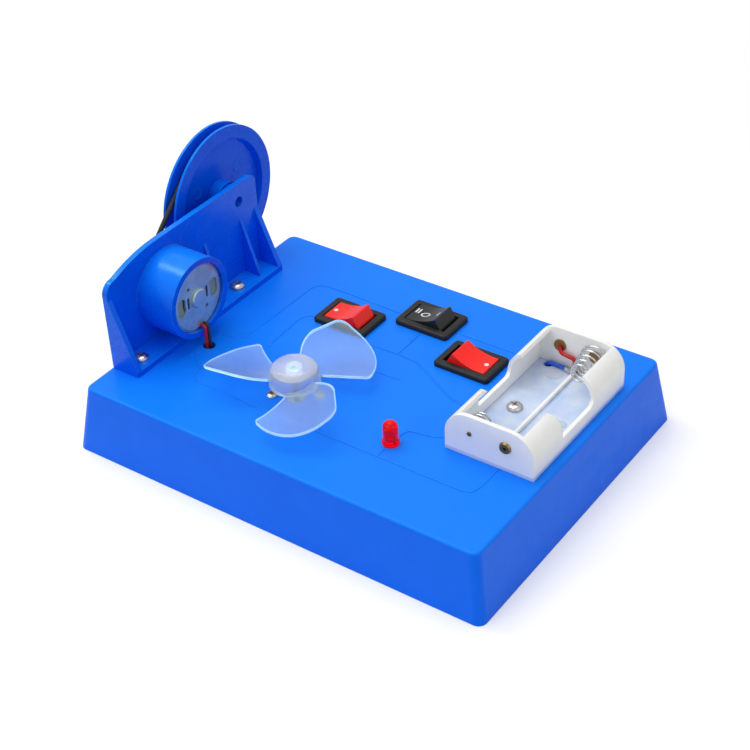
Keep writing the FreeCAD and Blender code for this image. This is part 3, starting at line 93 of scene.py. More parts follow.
def two_shaders(finish, share, first, second):
    """Two shaders mixed by a share."""
    mix = add_node(finish, "MixShader")
    wire(finish, share, mix.inputs["Fac"])
    wire(finish, first, mix.inputs[1])
    wire(finish, second, mix.inputs[2])
    return mix.outputs[0]


deselect()
bpy.ops.mesh.primitive_plane_add(size=6.0, location=(0, 0, -0.02 * mm))
table = bpy.context.object
table.name = "table"
tabletop = bpy.data.materials.new("tabletop")
tabletop.use_nodes = True
tabletop.node_tree.nodes.clear()
matt = add_node(tabletop, "BsdfDiffuse")
matt.inputs["Color"].default_value = table_grey
ray = add_node(tabletop, "LightPath")
lift = add_node(tabletop, "Emission")
wire(tabletop, combine(tabletop, "MULTIPLY", ray.outputs["Is Camera Ray"], table_lift),
     lift.inputs["Strength"])
both = add_node(tabletop, "AddShader")
wire(tabletop, matt.outputs[0], both.inputs[0])
wire(tabletop, lift.outputs[0], both.inputs[1])
place = add_node(tabletop, "TexCoord")
reach = add_node(tabletop, "VectorMath", operation="LENGTH")
wire(tabletop, place.outputs["Object"], reach.inputs[0])
fade = between(tabletop, reach.outputs["Value"], 0.0, 1.0, table_whole_to, table_gone_from)
nothing = add_node(tabletop, "BsdfTransparent")
output = add_node(tabletop, "OutputMaterial")
wire(tabletop, two_shaders(tabletop, fade, both.outputs[0], nothing.outputs[0]),
     output.inputs["Surface"])
table.data.materials.append(tabletop)

pale_room = bpy.data.worlds.new("pale_room")
scene.world = pale_room
pale_room.use_nodes = True
pale_room.node_tree.nodes.clear()
soft = add_node(pale_room, "Background")
soft.inputs["Color"].default_value = room_light
soft.inputs["Strength"].default_value = room_strength
white = add_node(pale_room, "Background")
white.inputs["Color"].default_value = (1, 1, 1, 1)
white.inputs["Strength"].default_value = 1.0
ray = add_node(pale_room, "LightPath")
seen = combine(pale_room, "MAXIMUM", ray.outputs["Is Camera Ray"],
               ray.outputs["Is Transmission Ray"])
mirrored = combine(pale_room, "MULTIPLY", ray.outputs["Is Glossy Ray"], room_in_gloss)
either = combine(pale_room, "MAXIMUM", seen, mirrored)
output = add_node(pale_room, "OutputWorld")
wire(pale_room, two_shaders(pale_room, either, soft.outputs[0], white.outputs[0]),
     output.inputs["Surface"])

for name, spot, aim, side, power in (
        ("overhead_lamp", (-0.25, 0.1, 1.1), (0, 0, 0), 0.8, 6.1),
        ("window_lamp", (-0.66, -0.03, 0.85), (-0.06, -0.02, 0.05), 0.22, 1.0),
        ("front_lamp", (-0.35, -1.0, 0.7), (0, 0, 0.02), 0.7, 3.0),
        ("right_lamp", (1.0, -0.2, 0.6), (0, 0, 0.02), 0.6, 1.2)):
    direction = Vector(aim) - Vector(spot)
    bpy.ops.object.light_add(type="AREA", location=spot,
                             rotation=direction.to_track_quat("-Z", "Y").to_euler())
    lamp = bpy.context.object
    lamp.name = name
    lamp.data.energy = power
    lamp.data.size = side

bpy.ops.object.camera_add(location=(0.26720, -0.35783, 0.35004),
                          rotation=(math.radians(53.800), math.radians(2.242),
                                    math.radians(34.993)))
camera = bpy.context.object
camera.data.lens = 80.58
camera.data.sensor_width = 36.0
camera.data.clip_start = 0.01
scene.camera = camera

# ---------------------------------------------------------------- base
# A box without a floor, injection moulded in azure polystyrene with a soft gloss. The circuit
# of the apparatus stands on its top as thin raised lines that were cut into the mould.

base_blue = (0.0, 0.140, 0.92, 1)
base_blue_deep = (0.0, 0.130, 0.89, 1)
# painted light: a paler blue for faces that look up on the base, bracket and pulley
base_blue_painted_top_light = (0.003, 0.205, 0.98, 1)
# painted highlight: a paler blue laid along edges
pale_edge_highlight_blue = (0.02, 0.33, 1.0, 1)
azure_sheen = (0.30, 0.75, 1.0, 1)

base_top = 24 * mm
line_height = 0.22 * mm
line_half_width = 0.36 * mm
line_points = {
    "drive_motor_to_middle_switch": [
        (-57.8, -10.9), (-56.4, -7.6), (-51.2, -7.4), (-49.4, -5.6), (-48.6, 4), (-48.1, 30.6),
        (-47.4, 33.3), (-45, 34.7), (-37, 35.1), (-10.9, 34.5)],
    "left_switch_branch": [(-39.2, -4.8), (-40.0, 12), (-39.4, 15.6), (-37.6, 17), (-35.6, 17)],
    "common_return": [
        (-57.2, -18.2), (-57.2, -21.6), (-55, -24.4), (-50.6, -27.4), (-49.7, -31.4),
        (-47, -34), (-20.9, -34.4), (57.2, -34.3), (60, -33), (60.8, -29.6), (60.8, -19.9)],
    "middle_switch_drop": [(0.6, 27.8), (0.6, 14.2)],
    "fan_feed": [(-13.8, 13.5), (1, 13.9), (9, 13.3), (14.9, 10.2), (20.5, 7), (28.7, 2.8),
                 (34, 1.6), (47.6, 1.4)],
    "fan_branch": [(-6, 2), (7.3, 2), (9.2, 2.5)],
    "lamp_feed": [(26.1, -23.4), (26.3, -20.4), (27.6, -18.5), (32.4, -17.6), (35.6, -17),
                  (38, -15.4), (41, -15.2), (47.6, -15.2)],
    "middle_switch_to_holder": [(10.9, 34.8), (32.4, 34.9), (41.5, 34.7), (47.6, 33.2)],
    "right_switch_to_lamp": [(25.8, -30.2), (25.8, -34)],
}
branch_dot = (-39.2 * mm, -4.8 * mm, base_top)


def new_finish(name):
    """A new material and its surface shader."""
    finish = bpy.data.materials.new(name)
    finish.use_nodes = True
    return finish, finish.node_tree.nodes["Principled BSDF"]


def grain(finish, size, stretch=(1, 1, 1), detail=2.0):
    """A cloudy pattern whose patches are about that size, longer where stretch is small."""
    place = add_node(finish, "TexCoord")
    layout = add_node(finish, "Mapping")
    layout.inputs["Scale"].default_value = [part / size for part in stretch]
    wire(finish, place.outputs["Object"], layout.inputs["Vector"])
    noise = add_node(finish, "TexNoise")
    noise.inputs["Scale"].default_value = 1.0
    noise.inputs["Detail"].default_value = detail
    wire(finish, layout.outputs[0], noise.inputs["Vector"])
    return noise.outputs[0]


def patches(finish, size, stretch=(1, 1, 1), detail=2.0):
    """The same pattern spread over 0 to 1, as a share for two colours."""
    return between(finish, grain(finish, size, stretch, detail), 0.0, 1.0)


def two_colours(finish, share, first, second):
    """Two colours, or the output of an earlier mix and a colour, mixed by a share."""
    mix = add_node(finish, "Mix", data_type="RGBA")
    wire(finish, share, mix.inputs[0])
    for socket, colour in ((mix.inputs[6], first), (mix.inputs[7], second)):
        if isinstance(colour, tuple):
            socket.default_value = colour
        else:
            wire(finish, colour, socket)
    return mix.outputs[2]


def one_way(finish, vector, axis):
    """How far a vector goes along X, Y or Z."""
    parts = add_node(finish, "SeparateXYZ")
    wire(finish, vector, parts.inputs[0])
    return parts.outputs[axis]


def soft_edges(finish, radius):
    """The normal of edges rounded by that radius, and a mask that is 1 along them."""
    rounded = add_node(finish, "Bevel", samples=4)
    rounded.inputs["Radius"].default_value = radius
    flat = add_node(finish, "NewGeometry")
    along = add_node(finish, "VectorMath", operation="DOT_PRODUCT")
    wire(finish, rounded.outputs[0], along.inputs[0])
    wire(finish, flat.outputs["Normal"], along.inputs[1])
    mask = between(finish, along.outputs["Value"], 1.0, 0.0, 0.86, 0.995)
    return rounded.outputs[0], mask


def relief(finish, height, depth, under=None):
    """Bumps of that depth where a pattern is high, over another normal if given."""
    bump = add_node(finish, "Bump")
    bump.inputs["Distance"].default_value = depth
    wire(finish, height, bump.inputs["Height"])
    if under is not None:
        wire(finish, under, bump.inputs["Normal"])
    return bump.outputs[0]


def scuffs(finish, size, amount):
    """Fine rubs in two directions, from 0 to amount."""
    one = between(finish, grain(finish, size, (1, 0.06, 1), 3), 0.0, amount, 0.56, 0.70)
    two = between(finish, grain(finish, size, (0.08, 1, 1), 3), 0.0, amount, 0.58, 0.72)
    return combine(finish, "MAXIMUM", one, two)


def moulded_plastic(name, colour, deep, edge, gloss, shine, above=None, sheen=None,
                    rounding=0.35 * mm):
    """Injection moulded plastic: pigment that isn't quite even, painted light that makes faces
    that look up paler if that colour is given, a faint skin, rubs and painted edge highlights."""
    finish, surface = new_finish(name)
    surface.inputs["Specular IOR Level"].default_value = shine
    if sheen is not None:
        surface.inputs["Specular Tint"].default_value = sheen
    body = two_colours(finish, patches(finish, 14 * mm, (1, 0.6, 1), 4), colour, deep)
    # painted light: faces that look up get the paler colour
    if above is not None:
        lie = add_node(finish, "NewGeometry")
        painted_top_light = between(finish, one_way(finish, lie.outputs["Normal"], "Z"), 0.0, 1.0,
                         0.25, 0.95)
        body = two_colours(finish, painted_top_light, body, above)
    rounded, mask = soft_edges(finish, rounding)
    # painted highlight: the edges get a paler colour, in patches
    painted_edge_highlight = combine(finish, "MULTIPLY", mask, between(finish, grain(finish, 3 * mm), 0.35, 0.8))
    wire(finish, two_colours(finish, painted_edge_highlight, body, edge), surface.inputs["Base Color"])
    rough = between(finish, grain(finish, 5 * mm, detail=4), gloss - 0.04, gloss + 0.06)
    rough = combine(finish, "ADD", rough, scuffs(finish, 4 * mm, 0.08))
    wire(finish, rough, surface.inputs["Roughness"])
    sunk = relief(finish, grain(finish, 11 * mm, detail=1), 0.05 * mm, rounded)
    skin = relief(finish, grain(finish, 0.35 * mm, detail=3), 0.012 * mm, sunk)
    wire(finish, skin, surface.inputs["Normal"])
    return finish


def dress(finish, *names):
    """Give a material to parts of the apparatus."""
    for name in names:
        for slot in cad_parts[name].material_slots:
            slot.material = finish


def open_whole():
    """Open the active piece for editing with all of it selected."""
    bpy.ops.object.mode_set(mode="EDIT")
    bpy.ops.mesh.select_all(action="SELECT")


def raised_line(name, points):
    """A low moulded rib along a path on the top of the base, drawn out from its first point."""
    deselect()
    start = (points[0][0] * mm, points[0][1] * mm, base_top)
    bpy.ops.mesh.primitive_plane_add(size=line_half_width, location=start)
    rib = bpy.context.object
    bpy.ops.object.transform_apply(location=True, rotation=False, scale=False)
    bpy.ops.object.mode_set(mode="EDIT")
    bpy.ops.mesh.merge(type="CENTER")
    for before, after in zip(points, points[1:]):
        step = ((after[0] - before[0]) * mm, (after[1] - before[1]) * mm, 0)
        bpy.ops.mesh.extrude_region_move(TRANSFORM_OT_translate={"value": step})
    bpy.ops.object.mode_set(mode="OBJECT")
    bpy.ops.object.convert(target="CURVE")
    rib.data.dimensions = "3D"
    rib.data.bevel_depth = line_half_width
    rib.data.bevel_resolution = 3
    rib.data.use_fill_caps = True
    bpy.ops.object.convert(target="MESH")
    rib = bpy.context.object
    open_whole()
    bpy.ops.transform.resize(value=(1, 1, line_height / line_half_width),
                             center_override=(0, 0, base_top))
    bpy.ops.mesh.normals_make_consistent(inside=False)
    bpy.ops.object.mode_set(mode="OBJECT")
    bpy.ops.object.shade_smooth()
    rib.name = name
    return rib


def soft_disc(spot, radius, thickness, rounding, sides):
    """A level round plate with softened rims."""
    deselect()
    bpy.ops.mesh.primitive_cylinder_add(vertices=sides, radius=radius, depth=thickness,
                                        location=spot)
    disc = bpy.context.object
    bpy.ops.object.transform_apply(location=True, rotation=False, scale=False)
    open_whole()
    bpy.ops.mesh.bevel(offset=rounding, segments=2)
    bpy.ops.object.mode_set(mode="OBJECT")
    return disc


def one_piece(name, parts):
    """Join parts that lie on the same piece."""
    deselect()
    for part in parts:
        part.select_set(True)
    bpy.context.view_layer.objects.active = parts[0]
    bpy.ops.object.join()
    parts[0].name = name
    return parts[0]


base_plastic = moulded_plastic("base_plastic", base_blue, base_blue_deep, pale_edge_highlight_blue,
                               gloss=0.34, shine=0.30, above=base_blue_painted_top_light,
                               sheen=azure_sheen, rounding=0.5 * mm)
dress(base_plastic, "base_shell")

ribs = [raised_line(name, points) for name, points in line_points.items()]
ribs.append(soft_disc(branch_dot, radius=0.9 * mm, thickness=0.36 * mm,
                      rounding=0.12 * mm, sides=32))
circuit = one_piece("circuit_lines", ribs)
circuit.data.materials.append(base_plastic)
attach(circuit, "base")

# ---------------------------------------------------------------- motor bracket
# One moulding in the same azure plastic: plate, foot, end walls, ribs, motor cup and axle. Two
# screws hold its foot on the base.

bracket_blue = (0.0, 0.116, 0.86, 1)
bracket_blue_deep = (0.0, 0.098, 0.78, 1)
screw_grey = (0.62, 0.61, 0.58, 1)


def bright_steel(name, colour, rough, size, stretch=(1, 1, 1), metallic=1.0):
    """Bare or plated steel with the marks of drawing, turning or stamping along one way."""
    finish, surface = new_finish(name)
    surface.inputs["Metallic"].default_value = metallic
    dull = tuple(part * 0.82 for part in colour[:3]) + (1,)
    steel_edge_highlight = tuple(min(part * 1.15, 1.0) for part in colour[:3]) + (1,)
    rounded, mask = soft_edges(finish, 0.12 * mm)
    body = two_colours(finish, patches(finish, 4 * mm, detail=3), colour, dull)
    # painted highlight: the edges get a brighter copy of the colour
    wire(finish, two_colours(finish, mask, body, steel_edge_highlight), surface.inputs["Base Color"])
    marks = grain(finish, size, stretch, 4)
    wire(finish, between(finish, marks, rough - 0.06, rough + 0.1), surface.inputs["Roughness"])
    wire(finish, relief(finish, marks, 0.012 * mm, rounded), surface.inputs["Normal"])
    return finish


bracket_plastic = moulded_plastic("bracket_plastic", bracket_blue, bracket_blue_deep,
                                  pale_edge_highlight_blue, gloss=0.22, shine=0.42,
                                  above=base_blue_painted_top_light, sheen=azure_sheen)
screw_steel = bright_steel("screw_steel", screw_grey, rough=0.28, size=0.3 * mm)
dress(bracket_plastic, "motor_bracket")
dress(screw_steel, "bracket_screws", "pulley_screw", "pulley_washer", "holder_screw")

# ---------------------------------------------------------------- big pulley and belt
# The pulley is moulded in the same azure plastic and runs loose on the axle of the bracket. The
# round rubber belt comes from the small pulley on the motor shaft.

pulley_blue = (0.0, 0.105, 0.82, 1)
pulley_blue_deep = (0.0, 0.088, 0.74, 1)
belt_black = (0.006, 0.006, 0.008, 1)
belt_dust = (0.018, 0.018, 0.021, 1)

# in millimetres: the axle, the two faces of the dish with the way that they look, and the
# ejector marks on each, by distance from the axle, turn in degrees and radius
axle_y, axle_z = 25.6, 54.2
dish_faces = ((-82.35, (1, 0, 0)), (-83.95, (-1, 0, 0)))
dish_marks = ((12.7, 31, 2.1), (12.7, 151, 2.1), (12.7, 271, 2.1), (18.4, -14, 1.0))

pulley_plastic = moulded_plastic("pulley_plastic", pulley_blue, pulley_blue_deep,
                                 pale_edge_highlight_blue, gloss=0.25, shine=0.18,
                                 above=base_blue_painted_top_light, sheen=azure_sheen)
dress(pulley_plastic, "big_pulley", "drive_pulley")

belt_rubber, surface = new_finish("belt_rubber")
dust = patches(belt_rubber, 2.5 * mm, detail=4)
wire(belt_rubber, two_colours(belt_rubber, dust, belt_black, belt_dust),
     surface.inputs["Base Color"])
wire(belt_rubber, between(belt_rubber, dust, 0.55, 0.75, 0, 1), surface.inputs["Roughness"])
wire(belt_rubber, relief(belt_rubber, grain(belt_rubber, 0.2 * mm, detail=3), 0.03 * mm),
     surface.inputs["Normal"])
dress(belt_rubber, "drive_belt")


def open_at_top(piece):
    """Open a piece for editing with only the faces that look up selected."""
    scene.tool_settings.mesh_select_mode = (False, False, True)
    bpy.ops.object.mode_set(mode="EDIT")
    bpy.ops.mesh.select_all(action="DESELECT")
    bpy.ops.object.mode_set(mode="OBJECT")
    for face in piece.data.polygons:
        face.select = face.normal.z > 0.9
    bpy.ops.object.mode_set(mode="EDIT")


def ejector_mark(spot, radius, facing):
    """The round, slightly sunk mark of an ejector pin on a face that looks along an axis; the
    spot and the radius are in millimetres."""
    deselect()
    lean = Vector(facing).to_track_quat("Z", "Y").to_euler()
    bpy.ops.mesh.primitive_cylinder_add(vertices=40, radius=radius * mm, depth=0.24 * mm,
                                        location=[part * mm for part in spot], rotation=lean)
    mark = bpy.context.object
    open_at_top(mark)
    bpy.ops.mesh.inset(thickness=0.3 * mm)
    bpy.ops.mesh.inset(thickness=0.08 * mm, depth=-0.10 * mm)
    bpy.ops.object.mode_set(mode="OBJECT")
    bpy.ops.object.transform_apply(location=True, rotation=True, scale=True)
    return mark


marks = []
for x, facing in dish_faces:
    for reach, turn, radius in dish_marks:
        turn = math.radians(turn)
        spot = (x, axle_y + reach * math.cos(turn), axle_z + reach * math.sin(turn))
        marks.append(ejector_mark(spot, radius, facing))
pulley_marks = one_piece("pulley_ejector_marks", marks)
pulley_marks.data.materials.append(pulley_plastic)
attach(pulley_marks, "big_pulley")

# ---------------------------------------------------------------- flat motors
# Drawn steel cans closed by a stamped end plate. Its windows show the grey-green card that
# carries the brushes. Inside, a core wound with copper turns in a ring of ferrite.

can_grey = (0.50, 0.51, 0.53, 1)
plate_grey = (0.46, 0.60, 0.62, 1)
shaft_grey = (0.66, 0.66, 0.66, 1)

# each axis by a place on it in millimetres, and by 0 along it and 1 across it
lengthwise = (0, 1, 1)
upright = (1, 1, 0)
drive_axis = ((0, -15.5, 42.3), lengthwise)
fan_axis = ((-14, -23, 0), upright)

can_steel_x = bright_steel("can_steel_drive", can_grey, rough=0.30, size=6 * mm,
                           stretch=(30, 1, 1))
can_steel_z = bright_steel("can_steel_fan", can_grey, rough=0.30, size=6 * mm,
                           stretch=(1, 1, 30))
plate_steel = bright_steel("plate_steel", plate_grey, rough=0.42, size=0.5 * mm, metallic=0.75)
shaft_steel = bright_steel("shaft_steel", shaft_grey, rough=0.18, size=3 * mm,
                           stretch=(30, 1, 1))
dress(can_steel_x, "drive_motor_can")
dress(can_steel_z, "fan_motor_can")
dress(plate_steel, "drive_motor_end_plate", "fan_motor_end_plate")
dress(shaft_steel, "drive_motor_shaft", "fan_motor_shaft")


def distance(finish, axis):
    """How far a point lies from an axis."""
    middle, across = axis
    place = add_node(finish, "TexCoord")
    layout = add_node(finish, "Mapping")
    layout.inputs["Location"].default_value = [-part * mm * keep for part, keep in
                                               zip(middle, across)]
    layout.inputs["Scale"].default_value = across
    wire(finish, place.outputs["Object"], layout.inputs["Vector"])
    radius = add_node(finish, "VectorMath", operation="LENGTH")
    wire(finish, layout.outputs[0], radius.inputs[0])
    return radius.outputs["Value"]


def brush_card(name, axis):
    """Grey-green laminate; the dark disc round the shaft is painted shade where the card is
    open.
    """
    finish, surface = new_finish(name)
    # painted shade: a near-black disc round the shaft
    painted_opening_shade = between(finish, distance(finish, axis), 1.0, 0.0, 6.8 * mm, 7.0 * mm)
    weave = patches(finish, 0.6 * mm, detail=3)
    card = two_colours(finish, weave, (0.20, 0.25, 0.22, 1), (0.27, 0.32, 0.28, 1))
    wire(finish, two_colours(finish, painted_opening_shade, card, (0.006, 0.007, 0.008, 1)),
         surface.inputs["Base Color"])
    wire(finish, between(finish, weave, 0.45, 0.6, 0, 1), surface.inputs["Roughness"])
    return finish


dress(brush_card("drive_brush_card", drive_axis), "drive_motor_brush_card")
dress(brush_card("fan_brush_card", fan_axis), "fan_motor_brush_card")

ferrite, surface = new_finish("ferrite")
sinter = patches(ferrite, 0.4 * mm, detail=4)
wire(ferrite, two_colours(ferrite, sinter, (0.022, 0.022, 0.024, 1), (0.055, 0.055, 0.058, 1)),
     surface.inputs["Base Color"])
wire(ferrite, between(ferrite, sinter, 0.6, 0.8, 0, 1), surface.inputs["Roughness"])
wire(ferrite, relief(ferrite, sinter, 0.03 * mm), surface.inputs["Normal"])
dress(ferrite, "drive_motor_magnet", "fan_motor_magnet")


def wound_core(name, axis):
    """Steel sheets at the poles with enamelled copper wire wound between them."""
    finish, surface = new_finish(name)
    surface.inputs["Metallic"].default_value = 0.9
    winding = between(finish, distance(finish, axis), 1.0, 0.0, 7.6 * mm, 7.7 * mm)
    turns = grain(finish, 0.35 * mm, tuple(0.2 if part else 1 for part in axis[1]), 2)
    shade = between(finish, turns, 0.0, 1.0)
    copper = two_colours(finish, shade, (0.52, 0.16, 0.05, 1), (0.30, 0.08, 0.03, 1))
    sheets = two_colours(finish, shade, (0.33, 0.33, 0.35, 1), (0.20, 0.20, 0.22, 1))
    wire(finish, two_colours(finish, winding, sheets, copper), surface.inputs["Base Color"])
    wire(finish, between(finish, turns, 0.3, 0.5), surface.inputs["Roughness"])
    wire(finish, relief(finish, turns, 0.08 * mm), surface.inputs["Normal"])
    return finish


dress(wound_core("drive_core", drive_axis), "drive_motor_armature")
dress(wound_core("fan_core", fan_axis), "fan_motor_armature")

# ---------------------------------------------------------------- fan
# Three pitched blades round a domed hub, moulded in milky polypropylene that lets the blue of
# the base through. It is pressed on the shaft of the second motor.

blade_milk = (0.72, 0.90, 0.95, 1)
blade_milk_pale = (0.78, 0.93, 0.97, 1)
hub_milk = (0.93, 0.94, 0.97, 1)
painted_rim_highlight_blue = (0.62, 0.84, 1.0, 1)
fan_painted_glow = (0.40, 0.68, 1.0, 1)

# distances from the axis over which the hub ends, the blades start, the boss round the shaft
# ends and its bore ends, and heights over which the boss ends below the dome
hub_ends = (7.9 * mm, 8.7 * mm)
blades_start = (8.6 * mm, 9.4 * mm)
boss_ends = (2.3 * mm, 2.7 * mm)
bore_ends = (1.1 * mm, 1.5 * mm)
boss_top = (34.8 * mm, 35.1 * mm)

fan_plastic, surface = new_finish("fan_plastic")
surface.inputs["IOR"].default_value = 1.36
surface.inputs["Emission Color"].default_value = fan_painted_glow
rounded, rim = soft_edges(fan_plastic, 0.5 * mm)
from_middle = distance(fan_plastic, fan_axis)

# the hub is whiter than the blades, and the rims get a paler colour, a painted highlight
milk = two_colours(fan_plastic, patches(fan_plastic, 6 * mm, detail=4), blade_milk,
                   blade_milk_pale)
milk = two_colours(fan_plastic, between(fan_plastic, from_middle, 1.0, 0.0, *hub_ends), milk,
                   hub_milk)
wire(fan_plastic, two_colours(fan_plastic, rim, milk, painted_rim_highlight_blue), surface.inputs["Base Color"])
frost = between(fan_plastic, grain(fan_plastic, 2 * mm, detail=3), 0.16, 0.26)
wire(fan_plastic, frost, surface.inputs["Roughness"])
wire(fan_plastic, relief(fan_plastic, grain(fan_plastic, 0.3 * mm), 0.01 * mm, rounded),
     surface.inputs["Normal"])

# painted light: the fan is no lamp, yet an emission stands in for light that gathers in the
# narrow sides and rims of the blades, and in the boss under the dome
place = add_node(fan_plastic, "TexCoord")
boss = combine(fan_plastic, "MULTIPLY",
               between(fan_plastic, from_middle, 0.6, 0.0, *boss_ends),
               between(fan_plastic, one_way(fan_plastic, place.outputs["Object"], "Z"),
                       1.0, 0.0, *boss_top))
core = between(fan_plastic, from_middle, 1.0, 0.22, *bore_ends)
lie = add_node(fan_plastic, "NewGeometry")
slope = add_node(fan_plastic, "Math", operation="ABSOLUTE")
wire(fan_plastic, one_way(fan_plastic, lie.outputs["True Normal"], "Z"), slope.inputs[0])
narrow_side = between(fan_plastic, slope.outputs[0], 0.42, 0.0, 0.45, 0.60)
painted_glow = combine(fan_plastic, "MAXIMUM", narrow_side,
               between(fan_plastic, rim, 0.0, 0.5, 0.0, 0.8))
painted_glow = combine(fan_plastic, "MULTIPLY", painted_glow,
               between(fan_plastic, from_middle, 0.0, 1.0, *blades_start))
painted_glow = combine(fan_plastic, "ADD", painted_glow, combine(fan_plastic, "MULTIPLY", boss, core))
wire(fan_plastic, painted_glow, surface.inputs["Emission Strength"])

# the thick hub, its boss and the rims let less light through than the blades
clear = between(fan_plastic, from_middle, 0.76, 0.89, *hub_ends)
clear = combine(fan_plastic, "SUBTRACT", clear, boss)
clear = combine(fan_plastic, "SUBTRACT", clear, between(fan_plastic, rim, 0.0, 0.4, 0.0, 1.0))
wire(fan_plastic, clear, surface.inputs["Transmission Weight"])
dress(fan_plastic, "fan")

fan_screw_steel, surface = new_finish("fan_screw_steel")
surface.inputs["Metallic"].default_value = 1.0
from_screw = combine(fan_screw_steel, "MINIMUM",
                     distance(fan_screw_steel, ((-20.93, -27.0, 0), upright)),
                     distance(fan_screw_steel, ((-7.07, -19.0, 0), upright)))
in_recess = between(fan_screw_steel, from_screw, 1.0, 0.0, 1.0 * mm, 1.15 * mm)
wire(fan_screw_steel, two_colours(fan_screw_steel, in_recess, (0.66, 0.65, 0.62, 1),
                                  (0.55, 0.33, 0.10, 1)), surface.inputs["Base Color"])
wire(fan_screw_steel, between(fan_screw_steel, grain(fan_screw_steel, 0.3 * mm), 0.2, 0.36),
     surface.inputs["Roughness"])
dress(fan_screw_steel, "fan_motor_screws")

# ---------------------------------------------------------------- rocker switches
# Snap-in switches: a matt black nylon housing with a bezel, and a glossy rocker. The two red
# ones carry a white dot on the pressed end, the black one the usual marks.

# the edge colours of the housings and rockers are painted highlights along their edges
housing_black = (0.010, 0.010, 0.011, 1)
housing_black_worn = (0.016, 0.016, 0.017, 1)
housing_edge_highlight = (0.06, 0.06, 0.06, 1)
signal_red = (0.98, 0.014, 0.008, 1)
signal_red_deep = (0.92, 0.011, 0.006, 1)
signal_red_edge_highlight = (1.0, 0.10, 0.06, 1)
gloss_black = (0.010, 0.011, 0.012, 1)
gloss_black_worn = (0.016, 0.016, 0.018, 1)
gloss_black_edge_highlight = (0.08, 0.08, 0.08, 1)
tag_tin = (0.70, 0.68, 0.60, 1)

red_switch_x = 24.7 * mm
red_switch_y = 22 * mm
black_switch_y = 35.6 * mm
pin_height = 21.8 * mm
rocker_lean = math.radians(15)
print_thickness = 0.08 * mm
dot_reach = 4.6 * mm

# the face of a rocker is a hollow arc, dip deep between two ridges that stand above its pins
ridge_x = 6.3 * mm
ridge_z = 6.1 * mm
dip = 1.1 * mm
hollow_radius = (ridge_x ** 2 + dip ** 2) / (2 * dip)

switch_plastic = moulded_plastic("switch_plastic", housing_black, housing_black_worn,
                                 housing_edge_highlight, gloss=0.46, shine=0.3, rounding=0.3 * mm)
rocker_red = moulded_plastic("rocker_red", signal_red, signal_red_deep, signal_red_edge_highlight,
                             gloss=0.24, shine=0.4, rounding=0.3 * mm)
rocker_black = moulded_plastic("rocker_black", gloss_black, gloss_black_worn, gloss_black_edge_highlight,
                               gloss=0.26, shine=0.4, rounding=0.3 * mm)
tag_brass = bright_steel("tag_brass", tag_tin, rough=0.26, size=3 * mm, stretch=(1, 1, 12))
dress(switch_plastic, "left_switch_housing", "middle_switch_housing", "right_switch_housing")
dress(rocker_red, "left_switch_rocker", "right_switch_rocker")
dress(rocker_black, "middle_switch_rocker")
dress(tag_brass, "left_switch_terminals", "middle_switch_terminals", "right_switch_terminals")

mark_paint, surface = new_finish("mark_paint")
ink = patches(mark_paint, 0.3 * mm, detail=3)
wire(mark_paint, two_colours(mark_paint, ink, (0.80, 0.80, 0.79, 1), (0.62, 0.62, 0.61, 1)),
     surface.inputs["Base Color"])
wire(mark_paint, between(mark_paint, ink, 0.4, 0.55, 0, 1), surface.inputs["Roughness"])


def on_rocker(along):
    """Height of a rocker's hollow face above its pins, level, at a distance from the middle."""
    return ridge_z - dip + hollow_radius - math.sqrt(hollow_radius ** 2 - along ** 2)


def lay_on_rocker(mark, x, y, pressed):
    """Bend a level mark down on the face of a rocker and lean it as the rocker leans."""
    sine, cosine = math.sin(rocker_lean * pressed), math.cos(rocker_lean * pressed)
    for point in mark.data.vertices:
        along, height = point.co.x, point.co.z + on_rocker(point.co.x)
        point.co.x = x + along * cosine + height * sine
        point.co.y += y
        point.co.z = pin_height + height * cosine - along * sine
    mark.data.materials.append(mark_paint)


def flat_bar(x, y, length, width):
    """A printed bar, level, cut across so that it can follow the hollow face."""
    deselect()
    bpy.ops.mesh.primitive_cube_add(size=1, location=(x, y, 0))
    bar = bpy.context.object
    bar.scale = (length, width, print_thickness)
    bpy.ops.object.transform_apply(location=True, rotation=False, scale=True)
    open_whole()
    bpy.ops.mesh.subdivide(number_cuts=3)
    bpy.ops.object.mode_set(mode="OBJECT")
    return bar


def flat_ring(x, y, radius, width):
    """A printed ring, level, longer than it is wide."""
    deselect()
    bpy.ops.mesh.primitive_torus_add(major_segments=36, minor_segments=8, location=(x, y, 0),
                                     major_radius=radius, minor_radius=width / 2)
    ring = bpy.context.object
    bpy.ops.object.transform_apply(location=True, rotation=False, scale=False)
    open_whole()
    bpy.ops.transform.resize(value=(1.3, 0.9, 0.14))
    bpy.ops.object.mode_set(mode="OBJECT")
    return ring


for name, pressed in (("left", -1), ("right", 1)):
    dot = soft_disc((pressed * dot_reach, 0, 0), radius=0.75 * mm, thickness=print_thickness,
                    rounding=0.02 * mm, sides=28)
    lay_on_rocker(dot, pressed * red_switch_x, red_switch_y, pressed)
    dot.name = name + "_switch_dot"
    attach(dot, name + "_rocker")
marks = [flat_bar(-5.1 * mm, 1.0 * mm, length=0.55 * mm, width=2.7 * mm),
         flat_bar(-4.1 * mm, 1.0 * mm, length=0.55 * mm, width=2.7 * mm),
         flat_ring(-0.9 * mm, -0.4 * mm, radius=1.2 * mm, width=0.5 * mm),
         flat_bar(4.4 * mm, 0, length=0.45 * mm, width=2.4 * mm)]
for mark in marks:
    lay_on_rocker(mark, 0, black_switch_y, -1)
switch_marks = one_piece("middle_switch_marks", marks)
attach(switch_marks, "middle_rocker")

# ---------------------------------------------------------------- lamp
# A red light-emitting diode. Its clear tinted body shows the two posts of the lead frame, one
# with the cup that holds the crystal.

